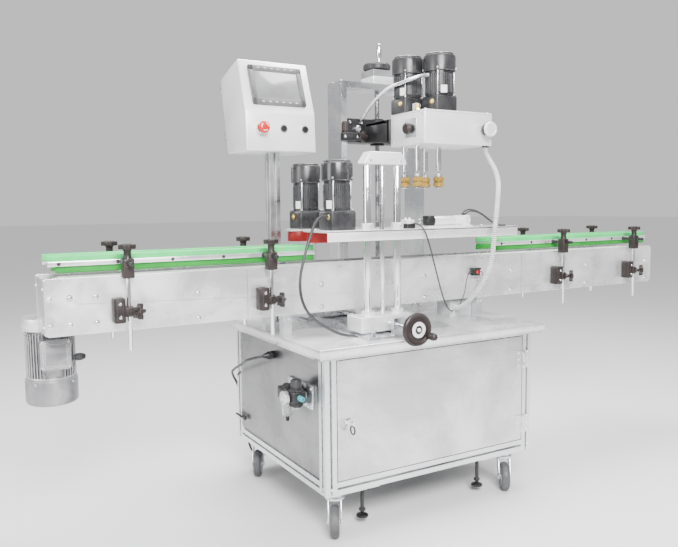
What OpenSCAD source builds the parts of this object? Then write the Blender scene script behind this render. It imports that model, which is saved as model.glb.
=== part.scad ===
// Bench-height bottle capping machine on a wheeled cabinet, with a long chain conveyor,
// side-belt bottle clamps, a four-spindle capping head on a gantry and a control box on a post.
// Lengths are in millimetres. +X runs along the conveyor, +Y to the rear, +Z up.
// Modules are drawn with x = 0 at the left cabinet post and y = 0 at the cabinet front, and
// place() then moves them so that the origin is on the floor under the middle of the machine.

/* [Cabinet] */
// Width of the cabinet frame
cab_w = 845; // [845:5:900]
// Depth of the cabinet frame
cab_d = 700; // [700:5:760]
// Height of the underside of the frame above the floor
frame_z = 140; // [140:1:140]
// Height of the worktop surface above the floor
top_z = 604; // [600:1:620]
// Side of the square slotted frame bars
bar = 40; // [40:1:40]
// Depth of the folded worktop edge
fold = 34; // [20:1:40]
// Overhang of the worktop at the front, rear and left
over = 30; // [20:1:40]
// Overhang of the worktop at the right
over_right = 40; // [20:1:50]

/* [Casters and feet] */
// Diameter of a caster wheel
wheel_d = 100; // [96:1:100]
// Width of a caster wheel
wheel_w = 30; // [24:1:32]
// Offset of the wheel axle from the swivel axis
trail = 36; // [30:1:40]
// Height of a leveling foot above the floor
foot_gap = 22; // [15:1:30]

/* [Conveyor] */
// Left end of the conveyor
conv_x0 = -740; // [-760:5:-720]
// Right end of the conveyor
conv_x1 = 1800; // [1760:5:1840]
// Front face of the conveyor
conv_y0 = 220; // [220:1:220]
// Overall width of the conveyor
conv_w = 172; // [172:1:172]
// Underside of the conveyor side plates
conv_z0 = 675; // [675:1:680]
// Top edge of the conveyor side plates
conv_z1 = 835; // [835:1:835]
// Thickness of the side plates
side_t = 4; // [3:0.5:5]
// Width of the chain plates
chain_w = 82; // [76:1:88]

/* [Guide rails] */
// Height of a guide rail
rail_h = 50; // [40:1:50]
// Gap between the front and rear guide rails
rail_gap = 80; // [70:1:90]
// Height of the lower edge of the guide rails
rail_z = 846; // [842:1:850]
// Diameter of the guide rail rods
rod_d = 12; // [10:1:12]

/* [Bottle clamp] */
// Left end of the clamp channels
clamp_x0 = 69; // [60:1:75]
// Right end of the clamp channels
clamp_x1 = 865; // [850:1:875]
// Top face of the clamp channels
clamp_z = 946; // [940:1:950]
// Height of a clamp belt
belt_h = 34; // [28:1:34]
// Outer radius of the belt around its end pulley
belt_r = 35; // [32:1:36]
// Diameter of the upright clamp posts
post_d = 25; // [20:1:25]

/* [Capping head] */
// Length of the head box
head_l = 308; // [300:1:320]
// Depth of the head box
head_d = 210; // [200:1:210]
// Height of the head box
head_h = 118; // [110:1:120]
// Underside of the head box at rest
head_z = 1240; // [1230:1:1250]
// Spacing of the spindles along the conveyor
spin_dx = 94; // [90:1:100]
// Spacing of the spindles across the conveyor
spin_dy = 80; // [74:1:90]
// Diameter of a spindle wheel
spin_d = 38; // [34:1:40]

/* [Gantry] */
// Outer width of the gantry
gantry_w = 393; // [393:1:393]
// Depth of the gantry uprights
gantry_d = 105; // [100:1:105]
// Thickness of the gantry uprights and beam
gantry_t = 24; // [24:1:24]
// Top of the gantry beam
gantry_z = 1500; // [1480:5:1500]
// Diameter of the lift screw
screw_d = 20; // [18:1:22]

/* [Control box] */
// Width of the control box
box_w = 263; // [250:1:270]
// Underside of the control box
box_z = 1213; // [1200:1:1230]

/* [Hidden] */
$fn = 48;
gap = 0.2;
run = 0.05;
post_top = top_z - 3 - gap;
post_len = post_top - frame_z;
conv_y1 = conv_y0 + conv_w;
mid_y = (conv_y0 + conv_y1) / 2;
chain_x0 = conv_x0 + 70;
chain_x1 = conv_x1 - 70;
chain_z = 768;
chain_r = 62;
chain_t = 5;
shaft_d = 25;
rail_t = 18;
rail_spans = [[conv_x0 + 4, 105], [892, conv_x1 - 2]];
stand_x = [[-521, -79], [1213, 1646]];
stand_y = 27;
clamp_mid = 734;
stand_top = 884;
cross_z = rail_z + 25;
rod_top = cross_z - rod_d / 2 - 3;
pulley_x = [108, 830];
belt_y = mid_y - 37 - belt_r;
belt_t = 5;
belt_z = clamp_z - 6 - belt_h - 1;
motor_x = 162;
motor_y = mid_y - 110;
post_x = [230, 347];
clamp_post_y = 120;
carriage_z = 668;
crank_z = 642;
crank_x = 288;
crank_y = -72;
head_x = 510;
head_y = 185;
motor_b = [618, 242];
motor_a = [552, 344];
spin_c = [587, mid_y];
gantry_x = 386;
gantry_y = 545;
screw_x = gantry_x + gantry_w / 2;
screw_y = gantry_y + gantry_d / 2;
cpost = [52, 480];
box_x = -61;
box_face = [[410, 0], [416, 130], [480, 314], [645, 267], [585, 0]];
caster_c = [[58, 50], [765, 50], [58, 640], [765, 640]];
foot_c = [[166, 60], [650, 60], [166, 630], [650, 630]];
caster_yaw = [240, 236, 240, 250];
hinge_x = cab_w - bar;
hinge_y = -6.5;
coil_c = [250, 860];
coil_r = 59;
cord_d = 9;
motor_c = [-702, 438];
flange_d = 158;
motor_d = 142;
fin_h = 7;
fin_gap = 4.4;
centre = [(motor_c[0] - flange_d / 2 + conv_x1) / 2, (crank_y - 49 + cab_d + over) / 2, 0];

mains_route = [[-36.2, 370, 516], [-46, 371, 515], [-58, 376, 513], [-68, 386, 509], [-74, 400, 504],
  [-76, 418, 498], [-73, 440, 490], [-66, 472, 478], [-57, 512, 464], [-49, 556, 449], [-42, 600, 433],
  [-34, 650, 414], [-24, 690, 396], [-8, 722, 372], [14, 740, 336], [34, 750, 286], [48, 757, 226],
  [58, 764, 166], [68, 774, 108], [82, 788, 58], [106, 802, 22], [146, 806, 6.5], [196, 803, 5.3],
  [250, 801, 5]];
harness_route = [[800, 200, 1238], [800.6, 199.7, 1222], [808, 188, 1192], [808, 162, 1160],
  [796, 128, 1120], [772, 98, 1079], [745, 72, 1038], [722, 52, 992], [708, 43, 943], [701, 41, 894],
  [698, 45, 845], [694, 57, 799], [688, 77, 757], [683, 104, 718], [682, 138, 684], [688, 176, 660],
  [695, 210, 646], [698, 232, 641], [698, 249.6, 640]];
clamp_route = [[116.6, 172, 990], [103, 172, 990], [85, 170, 988], [64, 164, 972], [44, 156, 940],
  [24, 149, 896], [6, 142, 850], [-6, 138, 805], [-9, 134, 762], [-2, 130, 724], [14, 127, 692],
  [38, 123, 666], [70, 118, 644], [104, 110, 624], [134, 104, 613], [164, 96, 609]];
sensor_route = [[418, 129.6, 962], [419, 116, 963], [422, 104, 961], [427, 93, 954], [434, 86, 941],
  [443, 84, 920], [456, 86, 890], [472, 92, 855], [490, 101, 818], [510, 112, 780], [532, 126, 744],
  [556, 143, 711], [582, 162, 682], [610, 183, 658], [640, 206, 640], [668, 228, 631],
  [681, 238, 629.5], [685, 249.4, 629]];

module place() translate(-centre) children();
module block(a, b) translate(a) cube(b - a);
module rod_x(a, l, d) translate(a) rotate([0, 90, 0]) cylinder(h = l, d = d);
module rod_y(a, l, d) translate(a) rotate([-90, 0, 0]) cylinder(h = l, d = d);
module rod_z(a, l, d) translate(a) cylinder(h = l, d = d);
module mirror_mid() translate([0, 2 * mid_y, 0]) mirror([0, 1, 0]) children();

// Vector helpers and a tube swept along a route
function unit(v) = v / norm(v);
function along(r, i) = unit(r[min(i + 1, len(r) - 1)] - r[max(i - 1, 0)]);
function side_of(t) = unit(cross(t, abs(t[2]) > 0.9 ? [1, 0, 0] : [0, 0, 1]));
function frames(r, i = 0, last = [0, 0, 0]) = i >= len(r) ? [] :
  let (t = along(r, i), s = i == 0 ? side_of(t) : unit(last - t * (last * t)))
  concat([[s, cross(t, s)]], frames(r, i + 1, s));
function spline(p0, p1, p2, p3, t) = 0.5 * (2 * p1 + (p2 - p0) * t
  + (2 * p0 - 5 * p1 + 4 * p2 - p3) * t * t + (3 * p1 - p0 - 3 * p2 + p3) * t * t * t);
function pt(r, i) = r[max(0, min(i, len(r) - 1))];
function smooth(r, n) = concat([for (i = [0:len(r) - 2]) for (k = [0:n - 1])
  spline(pt(r, i - 1), pt(r, i), pt(r, i + 1), pt(r, i + 2), k / n)], [r[len(r) - 1]]);

module tube(route, d, n = 2, sides = 8) {
  r = smooth(route, n);
  f = frames(r);
  last = len(r) - 1;
  points = [for (i = [0:last]) for (k = [0:sides - 1])
    r[i] + d / 2 * (f[i][0] * cos(360 * k / sides) + f[i][1] * sin(360 * k / sides))];
  walls = [for (i = [0:last - 1]) for (k = [0:sides - 1])
    [i * sides + k, i * sides + (k + 1) % sides, (i + 1) * sides + (k + 1) % sides, (i + 1) * sides + k]];
  ends = [[for (k = [0:sides - 1]) sides - 1 - k], [for (k = [0:sides - 1]) last * sides + k]];
  polyhedron(points, concat(walls, ends), convexity = 6);
}

// Slotted square bar, drawn upwards
module slot_bar(l) {
  linear_extrude(l) difference() {
    square(bar);
    for (a = [0:90:270]) translate([bar / 2, bar / 2]) rotate(a) {
      translate([-4.1, bar / 2 - 5]) square([8.2, 6]);
      translate([-8, bar / 2 - 10]) square([16, 5.1]);
    }
    translate([bar / 2, bar / 2]) circle(d = 7);
  }
}
module bar_x(a, l) translate(a) rotate([90, 0, 90]) slot_bar(l);
module bar_y(a, l) translate(a + [0, l, 0]) rotate([90, 0, 0]) slot_bar(l);

module cabinet_frame() color("silver") {
  for (x = [0, cab_w - bar], y = [0, cab_d - bar]) translate([x, y, frame_z]) slot_bar(post_len);
  for (y = [0, cab_d - bar], z = [frame_z, post_top - bar])
    bar_x([bar + gap, y, z], cab_w - 2 * bar - 2 * gap);
  for (x = [0, cab_w - bar], z = [frame_z, post_top - bar])
    bar_y([x, bar + gap, z], cab_d - 2 * bar - 2 * gap);
  hinge_roots();
}

module cabinet_panels() color("gainsboro") {
  low = frame_z + bar + gap;
  high = post_top - bar - gap;
  for (x = [5, cab_w - 7]) block([x, bar + gap, low], [x + 2, cab_d - bar - gap, high]);
  block([bar + gap, cab_d - 7, low], [cab_w - bar - gap, cab_d - 5, high]);
  block([bar + gap, bar + gap, low], [cab_w - bar - gap, cab_d - 8, low + 2]);
}

module worktop() color("gainsboro") difference() {
  block([-over, -over, top_z - fold], [cab_w + over_right, cab_d + over, top_z]);
  block([3 - over, 3 - over, top_z - fold - 1],
    [cab_w + over_right - 3, cab_d + over - 3, top_z - 3]);
}

// Corner plates that carry the casters, with the raised leveling feet beside them
module foot_brackets() {
  for (i = [0:3]) {
    x0 = min(caster_c[i][0] - 46, foot_c[i][0] - 34);
    x1 = max(caster_c[i][0] + 40, foot_c[i][0] + 34);
    color("silver") block([x0, foot_c[i][1] - 52, frame_z - 7.2], [x1, foot_c[i][1] + 42, frame_z - gap]);
    color("dimgray") rod_z([foot_c[i][0], foot_c[i][1], foot_gap + 9.8], frame_z - foot_gap - 17.2, 12);
    color("dimgray") rod_z([foot_c[i][0], foot_c[i][1], foot_gap + 20], 10, 24);
    color("black") translate([foot_c[i][0], foot_c[i][1], foot_gap]) rotate_extrude()
      polygon([[0, 0], [20, 0], [20, 5], [11, 10], [0, 10]]);
  }
}

// Swivel fork and wheel, drawn with the swivel axis at x = y = 0 and the trail along +X
module fork() color("lightgray") {
  rod_z([0, 0, 119], 13.2, 52);
  rod_z([0, 0, 109], 10, 62);
  for (s = [-1, 1]) translate([0, s * (wheel_w / 2 + 5) + 2, 0]) rotate([90, 0, 0]) linear_extrude(4)
    polygon([[-26, 113], [26, 113], [trail + 16, 54], [trail + 12, 40], [trail - 12, 40],
      [trail - 16, 54]]);
  rod_y([trail, -wheel_w / 2 - 10, wheel_d / 2], wheel_w + 20, 9.9);
}
module wheel() color("dimgray") rotate([90, 0, 0]) rotate_extrude() {
  polygon([[5, -wheel_w / 2], [12, -wheel_w / 2], [12, 5 - wheel_w / 2], [36, 5 - wheel_w / 2],
    [36, 1 - wheel_w / 2], [wheel_d / 2 - 4, 1 - wheel_w / 2], [wheel_d / 2, 6 - wheel_w / 2],
    [wheel_d / 2, wheel_w / 2 - 6], [wheel_d / 2 - 4, wheel_w / 2 - 1], [36, wheel_w / 2 - 1],
    [36, wheel_w / 2 - 5], [12, wheel_w / 2 - 5], [12, wheel_w / 2], [5, wheel_w / 2]]);
}
module at_caster(i) translate([caster_c[i][0], caster_c[i][1], 0]) rotate(caster_yaw[i]) children();
module caster_fork(i) at_caster(i) fork();
module caster_wheel(i) at_caster(i) translate([trail, 0, wheel_d / 2]) wheel();

// Hinged door: a folded sheet pan with two butt hinges at the right
door_z0 = frame_z + bar + 3;
door_z1 = post_top - bar - 3;
module door_panel() color("gainsboro") {
  difference() {
    block([bar + 3, 0, door_z0], [hinge_x - 3, 18, door_z1]);
    block([bar + 5, 2, door_z0 + 2], [hinge_x - 5, 19, door_z1 - 2]);
    rod_y([80, -1, 365], 5, 19 + 2 * run);
  }
  for (z = [240, 475]) {
    block([hinge_x - 32, -3, z - 32], [hinge_x - 3, -gap, z + 32]);
    for (k = [-1, 1]) difference() {
      union() {
        rod_z([hinge_x, hinge_y, z + k * 21 - 10.5], 21, 9);
        block([hinge_x - 7, -3, z + k * 21 - 10.5], [hinge_x - 2, -gap, z + k * 21 + 10.5]);
        block([hinge_x - 6, hinge_y - 1.5, z + k * 21 - 10.5], [hinge_x - 3, -1, z + k * 21 + 10.5]);
      }
      rod_z([hinge_x, hinge_y, z - 40], 80, 5 + 2 * run);
    }
  }
}
module hinge_roots() for (z = [240, 475]) {
  block([hinge_x + 3, -3, z - 32], [hinge_x + 32, -gap, z + 32]);
  block([hinge_x + 2, -6, z - 10], [hinge_x + 5, -1, z + 10]);
  rod_z([hinge_x, hinge_y, z - 10], 20, 9);
  rod_z([hinge_x, hinge_y, z - 32], 64, 5);
}
module door_lock() color("silver") {
  rod_y([80, -3, 365], 18, 19);
  rod_y([80, -8, 365], 5.1, 24);
  block([78.6, -30, 360], [81.4, -7.9, 370]);
  block([62, 15, 355], [88, 17.5, 375]);
  color("black") translate([80, -27, 346]) rotate([0, 90, 0]) rotate_extrude()
    translate([15, 0]) circle(d = 5);
}

module conveyor_sides() color("gainsboro") for (y = [conv_y0, conv_y1 - side_t])
  difference() {
    translate([0, y + side_t, 0]) rotate([90, 0, 0]) linear_extrude(side_t) polygon([
      [conv_x0, conv_z0 + 6], [conv_x0 + 6, conv_z0], [conv_x1 - 12, conv_z0], [conv_x1, conv_z0 + 12],
      [conv_x1, conv_z1 - 14], [conv_x1 - 4, conv_z1 - 4], [conv_x1 - 14, conv_z1],
      [conv_x0 + 4, conv_z1], [conv_x0, conv_z1 - 4]]);
    rod_y([chain_x0, y - 1, chain_z], side_t + 2, shaft_d + 2 * run);
  }

// End cover, cross spacers, wear strips, end idler, legs and the junction box under the conveyor
module conveyor_frame() color("silver") {
  block([conv_x0, conv_y0 + side_t + gap, conv_z0 + 6], [conv_x0 + 2, conv_y1 - side_t - gap, conv_z1 - 6]);
  for (x = [-560, -240, 80, 400, 720, 1040, 1360, 1620])
    rod_y([x, conv_y0 + side_t, chain_z], conv_w - 2 * side_t, 20);
  for (y = [mid_y - 38, mid_y + 26], z = [chain_z + chain_r - chain_t - 12.3])
    block([chain_x0 + 70, y, z], [chain_x1 - 70, y + 12, z + 12]);
  rod_y([chain_x1, mid_y - 30, chain_z], 60, 2 * (chain_r - chain_t) - 0.8);
  rod_y([chain_x1, conv_y0 + side_t, chain_z], conv_w - 2 * side_t, 20);
  for (x = [-28, 783], y = [conv_y0 + 1, conv_y1 - 31]) difference() {
    block([x, y, top_z], [x + 30, y + 30, conv_z0]);
    block([x + 3, y + 3, top_z + 3], [x + 27, y + 27, conv_z0 - 3]);
  }
  difference() {
    block([680, 250, top_z], [780, 330, 664]);
    block([682, 252, top_z + 2], [778, 328, 662]);
  }
}

module conveyor_chain() color("whitesmoke") {
  for (z = [chain_z + chain_r - chain_t, chain_z - chain_r])
    block([chain_x0 + gap, mid_y - chain_w / 2, z], [chain_x1 - gap, mid_y + chain_w / 2, z + chain_t]);
  for (e = [[chain_x0, 90], [chain_x1, -90]])
    translate([e[0], mid_y + chain_w / 2, chain_z]) rotate([90, 0, 0]) rotate(e[1])
      rotate_extrude(angle = 180) translate([chain_r - chain_t, 0]) square([chain_t, chain_w]);
}

module drive_shaft() color("silver") {
  rod_y([chain_x0, conv_y0, chain_z], conv_w + 60, shaft_d);
  rod_y([chain_x0, mid_y - 28, chain_z], 56, 2 * (chain_r - chain_t) - 0.8);
}
module drive_gearbox() color("silver") difference() {
  block([-728, conv_y1 + gap, 704], [-632, conv_y1 + 90, 822]);
  rod_y([chain_x0, conv_y1 - 1, chain_z], 70, shaft_d + 2 * run);
}

// Finned motor hanging below the gearbox; its flange is notched to clear the side plate
module motor_round(z, l, d) rod_z([motor_c[0], motor_c[1], z], l, d);
module drive_motor() color("silver") {
  difference() {
    motor_round(668, 35.8, flange_d);
    block([conv_x0 - gap, conv_y0, conv_z0 - gap], [motor_c[0] + flange_d, conv_y1 + gap, conv_z1]);
  }
  difference() {
    motor_round(520, 148.2, motor_d);
    for (a = [-50:15:230]) translate([motor_c[0], motor_c[1], 528]) rotate(a)
      translate([motor_d / 2 - fin_h, -fin_gap / 2, 0]) cube([fin_h + 3, fin_gap, 132]);
  }
  motor_round(452, 68.2, 150);
  motor_round(442, 10.2, 136);
  color("gray") block([-742, 328, 562], [-662, 372, 646]);
  color("black") rod_x([-662.1, 350, 588], 46, 20);
}

// Guide rail stands: side clamp, vertical rod, cross block and knobs; front and rear alike
module rail_stand(x) {
  y = conv_y0 - stand_y;
  difference() {
    color("black") union() {
      block([x - 44, y - 12, clamp_mid - 32], [x - 12, conv_y0 - gap, clamp_mid + 40]);
      block([x - 12.1, y - 12, clamp_mid - 12], [x + 12, y + 12, clamp_mid + 12]);
    }
    rod_z([x, y, clamp_mid - 20], 40, rod_d);
  }
  color("black") translate([x, y, clamp_mid]) rotate([0, 90, -49]) {
    translate([0, 0, 8]) cylinder(h = 18, d = 14);
    translate([0, 0, 24]) linear_extrude(16) union() {
      circle(d = 30);
      for (a = [0:72:288]) rotate(a) translate([17, 0]) circle(d = 15);
    }
  }
  color("silver") rod_z([x, y, 622], rod_top - 622, rod_d);
  difference() {
    color("black") block([x - 16, y - 14, rail_z - 18], [x + 16, y + 16, stand_top]);
    rod_z([x, y, rail_z - 19], rod_top - rail_z + 19, rod_d);
    rod_y([x, y - 20, cross_z], 60, rod_d + 2 * run);
  }
}
module stand_knob(x) color("black") {
  rod_z([x, conv_y0 - stand_y, stand_top - 0.1], 26.1, 24);
  rod_z([x, conv_y0 - stand_y, stand_top + 25.9], 15, 50);
}
module rail_clamps() {
  for (pair = stand_x, x = pair) {
    rail_stand(x);
    stand_knob(x);
    mirror_mid() rail_stand(x);
    mirror_mid() stand_knob(x);
  }
}
module rail(k) {
  s = rail_spans[k];
  y = mid_y - rail_gap / 2;
  color("mediumseagreen") block([s[0], y - 8, rail_z], [s[1], y, rail_z + rail_h]);
  color("silver") block([s[0], y - rail_t, rail_z + 18], [s[1], y - 8, rail_z + 32]);
}
module rail_rods(k) color("silver") for (x = stand_x[k])
  rod_y([x, conv_y0 - 72, cross_z], mid_y - rail_gap / 2 - rail_t + 0.1 - conv_y0 + 72, rod_d);
module rail_front(k) {
  rail(k);
  rail_rods(k);
}

// Hollow aluminium post and the tilted control box it carries
module control_post() color("silver") {
  translate([cpost[0], cpost[1], top_z]) slot_bar(box_z - top_z - gap);
  for (s = [-1, 1]) block([cpost[0] + 20 - 16, cpost[1] + 20 + s * 38 - 17.6, top_z],
    [cpost[0] + 20 + 16, cpost[1] + 20 + s * 38 + 17.6, top_z + 6]);
}
module at_face() translate([0, box_face[1][0], box_z + box_face[1][1]])
  rotate([atan2(box_face[2][1] - box_face[1][1], box_face[2][0] - box_face[1][0]), 0, 0])
  children();
inset = [[1, 1], [1, 0], [1, -1.3], [-1.3, -1.6], [-1, 1]];
module box_solid(t) translate([box_x + t, 0, box_z]) rotate([90, 0, 90]) linear_extrude(box_w - 2 * t)
  polygon(box_face + t * inset);
button_x = [box_x + 53, box_x + 137, box_x + 219];
button_z = box_z + 78;
button_y = 408.5;
screen_mid = 100;
module control_box() color("gainsboro") difference() {
  box_solid(0);
  box_solid(2.5);
  for (x = button_x) rod_y([x, 380, button_z], 60, 22 + 2 * run);
  at_face() translate([box_x + box_w / 2, screen_mid, 0]) block([-94, -66, -20], [94, 66, 20]);
}
module touch_screen() at_face() translate([box_x + box_w / 2, screen_mid, 0]) {
  color("dimgray") difference() {
    block([-101, -73, gap], [101, 73, 7]);
    block([-80, -48, 5], [80, 52, 8]);
  }
  color("dimgray") block([-92, -64, -24], [92, 64, gap]);
  color("black") block([-79.8, -47.8, 5], [79.8, 51.8, 6]);
}

// Buttons slide in their holes; the emergency stop has a mushroom head
module e_stop() color("red") {
  rod_y([button_x[0], button_y - 12, button_z], 40, 22);
  rod_y([button_x[0], button_y - 30, button_z], 18, 32);
  rod_y([button_x[0], button_y - 34, button_z], 4.1, 40);
}
module push_button(i) color("black") {
  rod_y([button_x[i], button_y - 9, button_z], 37, 22);
  rod_y([button_x[i], button_y - 11, button_z], 2.1, 20);
}

// Filter and regulator unit on the left side panel, with gauge, bowls and fittings
module air_unit() translate([0, -75, 0]) {
  color("gray") block([-3, 150, 395], [4.8, 320, 470]);
  color("black") block([-58, 176, 412], [-10, 226, 452]);
  color("black") block([-58, 240, 412], [-10, 290, 452]);
  color("black") rod_z([-34, 201, 452], 34, 34);
  color("brown") block([-50, 226, 422], [-18, 240, 444]);
  color("silver") block([-10, 190, 424], [-3, 276, 440]);
  color("white") rod_x([-74, 206, 432], 16, 42);
  color("silver") rod_x([-78, 206, 432], 4.1, 45);
  color("lightgray") rod_z([-34, 265, 352], 60, 40);
  color("lightgray") rod_z([-34, 201, 386], 26, 32);
  color("silver") rod_z([-34, 265, 338], 14.1, 12);
  color("teal") rod_y([-34, 290, 432], 26, 18);
  color("teal") rod_y([-34, 152, 432], 24.1, 18);
}
module mains_gland() color("black") {
  rod_x([-8, 370, 516], 12.8, 30);
  translate([-8, 370, 516]) rotate([0, -90, 0]) cylinder(h = 28, d1 = 18, d2 = 11.5);
}

// Inverted U of channel bars with the lift screw bearing on top
module gantry_frame() {
  color("silver") {
    for (x = [gantry_x, gantry_x + gantry_w - gantry_t])
      block([x, gantry_y, top_z], [x + gantry_t, gantry_y + gantry_d, gantry_z - gantry_t - gap]);
    difference() {
      block([gantry_x, gantry_y, gantry_z - gantry_t], [gantry_x + gantry_w, gantry_y + gantry_d, gantry_z]);
      rod_z([screw_x, screw_y, gantry_z - 40], 80, screw_d + 2 * run);
    }
    for (x = [gantry_x + gantry_t + gap, gantry_x + gantry_w - gantry_t - 40 - gap])
      block([x, gantry_y + 5, top_z], [x + 40, gantry_y + gantry_d - 5, top_z + 8]);
  }
  color("whitesmoke") difference() {
    block([screw_x - 46, gantry_y + 8, gantry_z + gap],
      [screw_x + 46, gantry_y + gantry_d - 8, gantry_z + 56]);
    rod_z([screw_x, screw_y, gantry_z - 10], 80, screw_d + 2 * run);
  }
  color("silver") difference() {
    block([screw_x - 30, screw_y - 30, top_z + 1], [screw_x + 30, screw_y + 30, top_z + 24]);
    rod_z([screw_x, screw_y, top_z + 6], 40, screw_d + 2 * run);
  }
}
module lift_handwheel() {
  color("silver") rod_z([screw_x, screw_y, top_z + 8], gantry_z + 66 - top_z - 8, screw_d);
  translate([screw_x, screw_y, gantry_z + 57]) {
    color("black") rod_z([0, 0, 1], 30, 36);
    color("black") rotate_extrude() polygon([[17.9, 8], [40, 10], [40, 8], [44, 4], [50, 4], [54, 9],
      [54, 23], [50, 28], [44, 28], [40, 24], [40, 22], [17.9, 24]]);
    color("silver") rod_z([-16, -40, 27], 18, 8);
    color("silver") translate([-16, -40, 44.9]) rotate_extrude()
      polygon([[0, 0], [9, 0], [11, 8], [11, 44], [8, 52], [0, 54]]);
  }
}

// Head carriage between the uprights, its arm and its clamp on the left upright
module head_carriage() color("dimgray") {
  x0 = gantry_x + gantry_t + 0.4;
  x1 = gantry_x + gantry_w - gantry_t - 0.4;
  difference() {
    block([x0, gantry_y + 10, head_z + 30], [x1, gantry_y + gantry_d - 10, head_z + 122]);
    rod_z([screw_x, screw_y, head_z], 140, screw_d + 2 * run);
  }
  difference() {
    block([screw_x - 80, head_y + head_d + gap, head_z + 20], [screw_x + 80, gantry_y + 10.1, head_z + 104]);
    block([screw_x - 66, head_y + head_d + 16, head_z + 10], [screw_x + 66, gantry_y - 6, head_z + 92]);
  }
  block([gantry_x - 6, gantry_y - 26, head_z + 32], [gantry_x + 60, gantry_y - 0.4, head_z + 62]);
  block([gantry_x + gantry_t + 4, gantry_y - 1, head_z + 34], [gantry_x + 60, gantry_y + 10.1, head_z + 60]);
  rod_z([gantry_x + 8, gantry_y - 13, head_z + 61], 44, 20);
}

// Hollow head box of sheet metal with the spindle holes in its underside
module spindle_spots() for (sx = [-1, 1], sy = [-1, 1])
  translate([spin_c[0] + sx * spin_dx / 2, spin_c[1] + sy * spin_dy / 2, 0]) children();
module head_box() color("whitesmoke") {
  difference() {
    block([head_x, head_y, head_z], [head_x + head_l, head_y + head_d, head_z + head_h]);
    block([head_x + 3, head_y + 3, head_z + 4],
      [head_x + head_l - 3, head_y + head_d - 3, head_z + head_h - 3]);
    spindle_spots() rod_z([0, 0, head_z - 5], 20, 14 + 2 * run);
    rod_y([knob_c[0], head_y - 5, knob_c[1]], 20, 12 + 2 * run);
  }
}
knob_c = [782, head_z + 56];
module gear_motor(c, z) translate([c[0], c[1], z]) {
  color("dimgray") block([-45, -45, gap], [45, 45, 56]);
  color("black") rod_z([0, 0, 55.9], 84, 104);
  color("black") rod_z([0, 0, 139.8], 58, 116);
  color("black") rod_z([0, 0, 197.7], 6, 96);
}
module head_motors() {
  gear_motor(motor_b, head_z + head_h);
  gear_motor(motor_a, head_z + head_h);
  color("gold") rod_z([head_x + 14, head_y + 60, head_z + head_h + gap], 26, 18);
}
module head_knob() {
  color("silver") rod_y([knob_c[0], head_y - 14, knob_c[1]], 30, 12);
  color("black") rod_y([knob_c[0], head_y - 26, knob_c[1]], 25.6, 40);
  color("silver") rod_y([knob_c[0], head_y - 40, knob_c[1]], 14.1, 52);
}
module spindle(sx, sy) translate([spin_c[0] + sx * spin_dx / 2, spin_c[1] + sy * spin_dy / 2, 0]) {
  color("silver") rod_z([0, 0, head_z - 152], 215, 14);
  color("gold") translate([0, 0, head_z - 149]) rotate_extrude() polygon([[6.9, 0], [spin_d / 2, 0],
    [spin_d / 2, 15], [spin_d / 2 - 3, 16], [spin_d / 2 - 3, 20], [spin_d / 2, 21],
    [spin_d / 2, 36], [6.9, 36]]);
  color("silver") rod_z([0, 0, head_z + 24], 30, 44);
}

// Base plate on the worktop with two rails along Y and bearing blocks for the crank screw
module clamp_base() color("silver") {
  block([165, 14, top_z], [382, 598, top_z + 8]);
  for (x = [190, 350]) block([x, 33, top_z + 8], [x + 15, 579, top_z + 22]);
  for (y = [16, 580]) difference() {
    block([crank_x - 26, y, top_z + 8], [crank_x + 26, y + 16, crank_z + 24]);
    rod_y([crank_x, y - 5, crank_z], 30, 14 + 2 * run);
  }
}
module clamp_crank() {
  color("silver") rod_y([crank_x, crank_y, crank_z], 664, 14);
  translate([crank_x, crank_y, crank_z]) rotate([90, 0, 0]) {
    color("black") rotate_extrude() polygon([[40, -6], [46, -9], [51, -7], [53, -1], [51, 6],
      [46, 8], [40, 5]]);
    color("black") rotate_extrude() polygon([[6.9, -14], [20, -14], [22, -4], [41, -3], [41, 2],
      [24, 3], [24, 8], [6.9, 8]]);
    color("silver") rotate_extrude() polygon([[15, 7.9], [25, 7.9], [25, 11], [15, 11]]);
    color("black") translate([38, -22, 3]) rotate_extrude() polygon([[0, 0], [7, 0], [7, 8], [11, 12],
      [12, 34], [9, 44], [0, 46]]);
  }
}

// Carriage block that slides on the two rails and carries a pair of posts
module clamp_carriage() difference() {
  block([178, 75, top_z + 14], [379, 165, carriage_z]);
  for (x = [190, 350]) block([x - 0.3, 70, top_z], [x + 15.3, 170, top_z + 22.3]);
  rod_y([crank_x, 60, crank_z], 120, 14 + 2 * run);
}
module belt_core() {
  for (x = pulley_x) rod_z([x, belt_y, belt_z + 2], belt_h - 4, 2 * (belt_r - belt_t) - 0.8);
  block([pulley_x[0] + 40, belt_y - 22, belt_z + 3], [pulley_x[1] - 40, belt_y + 22, belt_z + belt_h - 3]);
  for (x = [pulley_x[0] + 90, mid_x, pulley_x[1] - 90])
    block([x - 20, belt_y - 15, belt_z + belt_h - 3.1], [x + 20, belt_y + 15, clamp_z - 5.9]);
  for (x = pulley_x) rod_z([x, belt_y, belt_z], clamp_z - 5.9 - belt_z, 20);
}
mid_x = (pulley_x[0] + pulley_x[1]) / 2;
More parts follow.
